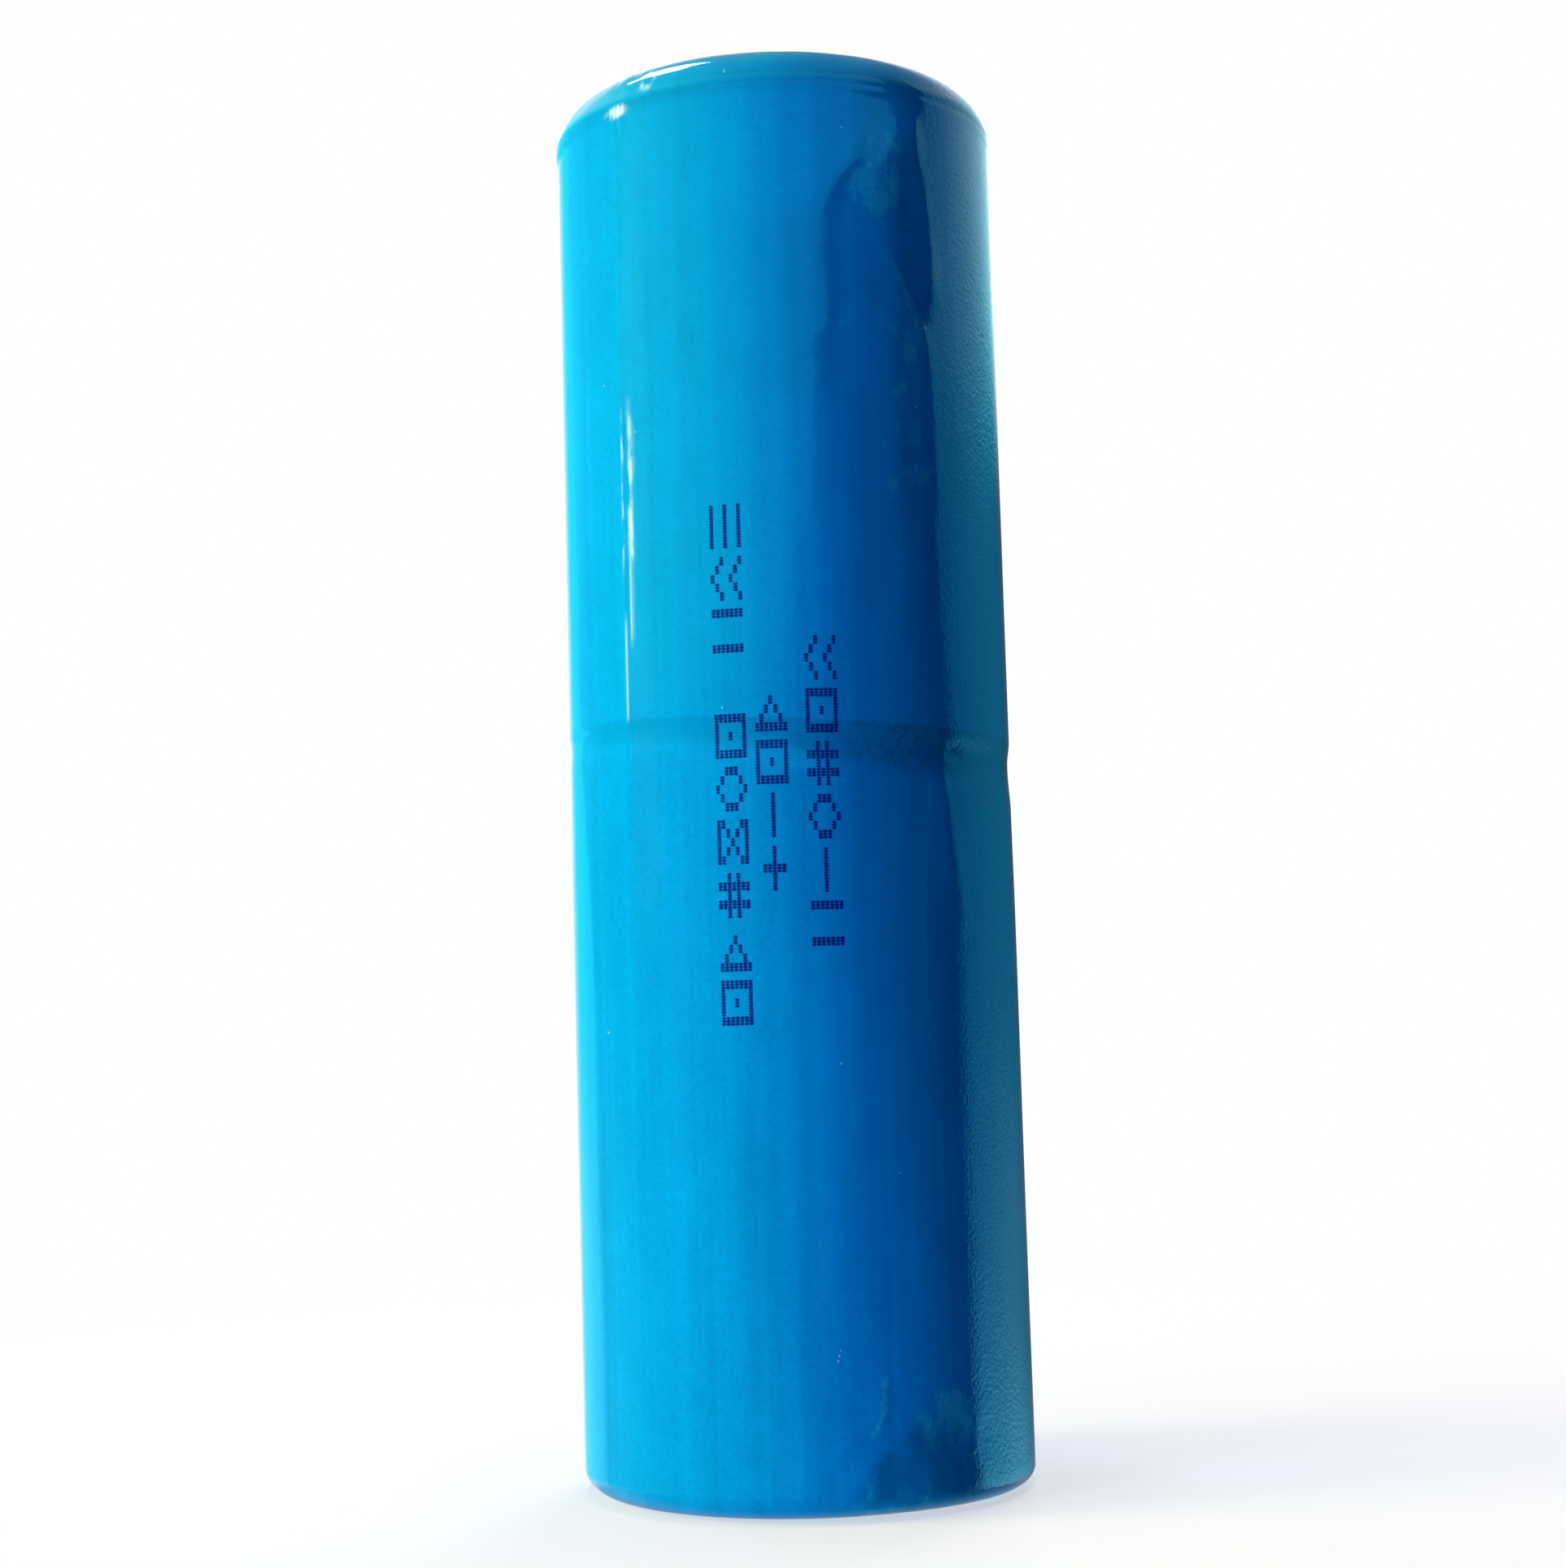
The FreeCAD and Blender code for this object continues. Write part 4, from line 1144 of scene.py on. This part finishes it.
# Lamps: name, its level in the settings, azimuth from the front in degrees, then in metres the height,
# distance and size, the colour, and the height that it aims at
LAMPS = (
    ("side_lamp", "side_light", -80, 0.30, 0.9, (0.35, 0.45), (1.0, 1.0, 0.22), 0.06),
    ("front_lamp", "front_light", -50, 0.26, 0.9, (0.3, 0.4), (0.45, 0.62, 1.0), 0.06),
    ("back_lamp", "back_light", 160, 0.35, 0.9, (0.5, 0.5), WHITE, 0.06),
    ("back_left_lamp", "back_left_light", -135, 0.30, 0.9, (0.4, 0.4), (0.25, 0.3, 1.0), 0.06),
    ("top_lamp", "top_light", 0, 1.3, 0.001, (0.3, 0.3), WHITE, 0.06),
    ("under_lamp", "under_light", 0, -0.6, 0.001, (0.4, 0.4), (0.8, 1.0, 0.8), 0.0),
    ("bounce_lamp", "bounce_light", -18, -0.05, 0.15, (0.12, 0.05), (0.45, 0.85, 1.0), 0.02),
)


def area_lamp(name, level, azimuth, height, distance, size, colour, target):
    """Rectangular lamp that reflections don't see; level 1 renders a white facing it as white."""
    angle = math.radians(azimuth)
    place = Vector((distance * math.sin(angle), -distance * math.cos(angle), height))
    aim = Vector((0, 0, target)) - place
    light = bpy.data.lights.new(name, "AREA")
    light.shape = "RECTANGLE"
    light.size, light.size_y = size
    light.energy = level * math.pi ** 2 * aim.length_squared
    light.color = colour
    lamp = bpy.data.objects.new(name, light)
    lamp.location = place
    lamp.rotation_euler = aim.to_track_quat("-Z", "Y").to_euler()
    lamp.visible_glossy = False
    bpy.context.scene.collection.objects.link(lamp)
    return lamp


def softbox():
    """Lamp that gives highlights and no diffuse light, turned so that they lie along the shoulder."""
    target = 0.115
    box = area_lamp("softbox", 0.5, -125, 0.735, 0.328, (0.23, 0.18), WHITE, target)
    back = (box.location - Vector((0, 0, target))).normalized()
    side = Vector((0.096, -0.322, 0.164))
    side = (side - side.dot(back) * back).normalized()
    box.rotation_euler = Matrix((side, back.cross(side), back)).transposed().to_euler()
    box.visible_glossy = True
    box.visible_diffuse = False


def world_light(strength):
    """White to camera, glossy and transmission rays; a low blue fill to diffuse ones."""
    world = bpy.data.worlds.new("studio")
    bpy.context.scene.world = world
    world.use_nodes = True
    tree = world.node_tree
    tree.nodes.clear()
    path = add(tree, "ShaderNodeLightPath")
    seen = math_node(tree, "MAXIMUM", path.outputs["Is Camera Ray"], path.outputs["Is Glossy Ray"])
    seen = math_node(tree, "MAXIMUM", seen, path.outputs["Is Transmission Ray"])
    low_fill = add(tree, "ShaderNodeBackground", {"Color": (0.25, 0.28, 1.0, 1), "Strength": strength})
    white = add(tree, "ShaderNodeBackground", {"Color": (*WHITE, 1), "Strength": 1.0})
    mix = add(tree, "ShaderNodeMixShader", {0: seen, 1: low_fill.outputs[0], 2: white.outputs[0]})
    add(tree, "ShaderNodeOutputWorld", {"Surface": mix.outputs[0]})


def floor_material():
    """Pale floor: keeps the shadow near the part, is plain white away from it and clear from below."""
    material, tree = blank_material("floor")
    matt = add(tree, "ShaderNodeBsdfPrincipled", {
        "Base Color": (0.95, 0.95, 0.95, 1), "Roughness": 0.9, "Specular IOR Level": 0.0})
    coordinates = add(tree, "ShaderNodeTexCoord")
    length = add(tree, "ShaderNodeVectorMath", {0: coordinates.outputs["Object"]}, operation="LENGTH")
    away = remap(tree, length.outputs["Value"], 0.02, 0.16, 0.55, 1.0)
    white = add(tree, "ShaderNodeEmission", {"Color": (*WHITE, 1), "Strength": 1.0})
    path = add(tree, "ShaderNodeLightPath")
    share = math_node(tree, "MULTIPLY", away, path.outputs["Is Camera Ray"])
    above = add(tree, "ShaderNodeMixShader", {0: share, 1: matt.outputs[0], 2: white.outputs[0]})
    below = add(tree, "ShaderNodeNewGeometry").outputs["Backfacing"]
    clear = add(tree, "ShaderNodeBsdfTransparent")
    one_sided = add(tree, "ShaderNodeMixShader", {0: below, 1: above.outputs[0], 2: clear.outputs[0]})
    add(tree, "ShaderNodeOutputMaterial", {"Surface": one_sided.outputs[0]})
    return material


def stage_piece(name, mesh, material, hidden_from):
    """Links a mesh of the studio, which the given kinds of ray don't see."""
    mesh.materials.append(material)
    piece = bpy.data.objects.new(name, mesh)
    bpy.context.scene.collection.objects.link(piece)
    for kind in hidden_from:
        setattr(piece, "visible_" + kind, False)


def floor():
    """Floor just under the part."""
    reach, level = 3.0, -0.02 * MM
    corners = [(-reach, -reach, level), (reach, -reach, level), (reach, reach, level), (-reach, reach, level)]
    mesh = bpy.data.meshes.new("floor")
    mesh.from_pydata(corners, [], [(0, 1, 2, 3)])
    stage_piece("floor", mesh, floor_material(), ("shadow", "glossy", "diffuse"))


def room_material():
    """Brightness of the room round the part, by direction: a dark front right, bright gaps beside it."""
    material, tree = blank_material("room")
    coordinates = add(tree, "ShaderNodeTexCoord")
    x, y, z = add(tree, "ShaderNodeSeparateXYZ", {0: coordinates.outputs["Object"]}).outputs

    def smooth(value, low, high, to_low=0.0, to_high=1.0):
        return add(tree, "ShaderNodeMapRange", {
            "Value": value, "From Min": low, "From Max": high, "To Min": to_low, "To Max": to_high},
            interpolation_type="SMOOTHSTEP").outputs[0]

    def plus(first, second):
        return math_node(tree, "ADD", first, second)

    def less(first, second):
        return math_node(tree, "SUBTRACT", first, second)

    def times(first, second):
        return math_node(tree, "MULTIPLY", first, second)

    def degrees_of(first, second):
        return math_node(tree, "DEGREES", math_node(tree, "ARCTAN2", first, second))

    def blend(first, second, share):
        return plus(times(first, less(1.0, share)), times(second, share))

    # directions in degrees: azimuth from the front, positive to the right, and rise above level
    azimuth = degrees_of(x, times(y, -1.0))
    rise = degrees_of(z, math_node(tree, "SQRT", plus(times(x, x), times(y, y))))
    turned = math_node(tree, "ABSOLUTE", azimuth)
    # open left part of the front, its edge leaning with height
    edge = plus(plus(smooth(rise, -4, 18, -34, 18), smooth(rise, 16, 24, 0, 45)), smooth(rise, -9, -1, 34, 0))
    beyond_left = smooth(less(azimuth, smooth(rise, 1, 9, -125, -139)), -2, 1.5, 1, 0)
    into = math_node(tree, "DIVIDE", less(azimuth, edge), smooth(rise, 8, 18, 9, 2.5))
    open_front = times(smooth(into, -1, 1, 1.0, 0.0), less(1.0, beyond_left))
    open_front = times(open_front, smooth(rise, 4, 16, 0.65, 1.2))
    gap_left = times(beyond_left, smooth(azimuth, -176, -140, 1.0, 1.5))
    # gap on the right, dimmer low down and behind
    beyond_right = smooth(less(azimuth, smooth(rise, 5, 12, 92.5, 88.5)), -1.2, 1.2)
    low_right = times(smooth(azimuth, 104, 165, 0.88, 0.08), smooth(rise, -5, 2, 1.5, 1.0))
    low_right = times(low_right, smooth(rise, -11, -7, 2.2, 1.0))
    high_right = smooth(azimuth, 95, 130, 1.1, 1.5)
    gap_right = times(beyond_right, blend(low_right, high_right, smooth(rise, 13, 19)))
    # even sky above, ground below that is brighter behind
    level = blend(plus(plus(open_front, gap_left), gap_right), 0.34, smooth(rise, 36, 52))
    level = plus(blend(level, smooth(turned, 80, 130, 0.08, 0.45), smooth(rise, -24, -13, 1, 0)), 0.02)
    # near white behind, high up and low down, and blue elsewhere
    steep = math_node(tree, "ABSOLUTE", less(rise, 8.0))
    pale = smooth(turned, 150, 170)
    for share in (times(smooth(rise, 14, 21, 0, 0.5), smooth(azimuth, 60, 110)), smooth(rise, -5, 2, 0.18, 0),
                  smooth(turned, 75, 92, 0.26, 0), smooth(steep, 18, 28)):
        pale = math_node(tree, "MAXIMUM", pale, share)
    tint = mixed_colour(tree, pale, (0.06, 0.92, 1.0, 1), (0.94, 0.97, 1.0, 1))
    glow = add(tree, "ShaderNodeEmission", {"Color": tint, "Strength": level})
    add(tree, "ShaderNodeOutputMaterial", {"Surface": glow.outputs[0]})
    return material


def room():
    """Walls round the part that only its reflections see."""
    form = bmesh.new()
    bmesh.ops.create_icosphere(form, subdivisions=5, radius=2.5)
    mesh = bpy.data.meshes.new("room")
    form.to_mesh(mesh)
    form.free()
    hidden_from = ("camera", "diffuse", "transmission", "shadow", "volume_scatter")
    stage_piece("room", mesh, room_material(), hidden_from)


def camera(props):
    """Near camera at lower mid height, tilted up a little and rolled slightly."""
    lens = bpy.data.cameras.new("camera")
    lens.sensor_width = 36.0
    lens.lens = 58.31
    lens.clip_start, lens.clip_end = 0.01, 20
    viewer = bpy.data.objects.new("camera", lens)
    place = Vector((0, -props.camera_distance, props.camera_height))
    viewer.matrix_world = (Matrix.Translation(place) @ Matrix.Rotation(props.camera_yaw, 4, "Z")
                           @ Matrix.Rotation(math.pi / 2 + props.camera_tilt, 4, "X")
                           @ Matrix.Rotation(props.camera_roll, 4, "Z"))
    bpy.context.scene.collection.objects.link(viewer)
    bpy.context.scene.camera = viewer


class BATTERY_OT_stage(bpy.types.Operator):
    """Sets the floor, the lamps, the reflected room and the camera"""
    bl_idname = "battery.stage"
    bl_label = "Studio"

    def execute(self, context):
        props = context.scene.battery_stage
        context.scene.view_settings.view_transform = "Standard"
        world_light(props.fill)
        floor()
        room()
        for name, setting, *placing in LAMPS:
            area_lamp(name, getattr(props, setting), *placing)
        softbox()
        camera(props)
        return {"FINISHED"}


class BATTERY_PT_panel(bpy.types.Panel):
    """Lists the battery's operators and sizes"""
    bl_idname = "BATTERY_PT_panel"
    bl_label = "Battery"
    bl_space_type = "VIEW_3D"
    bl_region_type = "UI"
    bl_category = "Battery"

    def draw(self, context):
        """Buttons of the operators, then every setting"""
        for operator in OPERATORS:
            self.layout.operator(operator.bl_idname)
        for group, _ in GROUPS:
            settings = getattr(context.scene, group)
            for name in settings.bl_rna.properties.keys():
                if name not in ("rna_type", "name"):
                    self.layout.prop(settings, name)


OPERATORS = (BATTERY_OT_solids, BATTERY_OT_sleeve, BATTERY_OT_print, BATTERY_OT_dust, BATTERY_OT_stage)
GROUPS = (("battery_sleeve", SleeveProps), ("battery_print", PrintProps), ("battery_dust", DustProps),
          ("battery_stage", StageProps))


def register():
    """Registers the settings, the operators and the panel."""
    for name, group in GROUPS:
        bpy.utils.register_class(group)
        setattr(bpy.types.Scene, name, bpy.props.PointerProperty(type=group))
    for operator in OPERATORS:
        bpy.utils.register_class(operator)
    bpy.utils.register_class(BATTERY_PT_panel)


def unregister():
    """Undoes register."""
    bpy.utils.unregister_class(BATTERY_PT_panel)
    for operator in reversed(OPERATORS):
        bpy.utils.unregister_class(operator)
    for name, group in reversed(GROUPS):
        delattr(bpy.types.Scene, name)
        bpy.utils.unregister_class(group)


def main():
    """Builds everything."""
    register()
    for operator in ("solids", "sleeve", "print", "dust", "stage"):
        getattr(bpy.ops.battery, operator)()


if __name__ == "__main__":
    main()
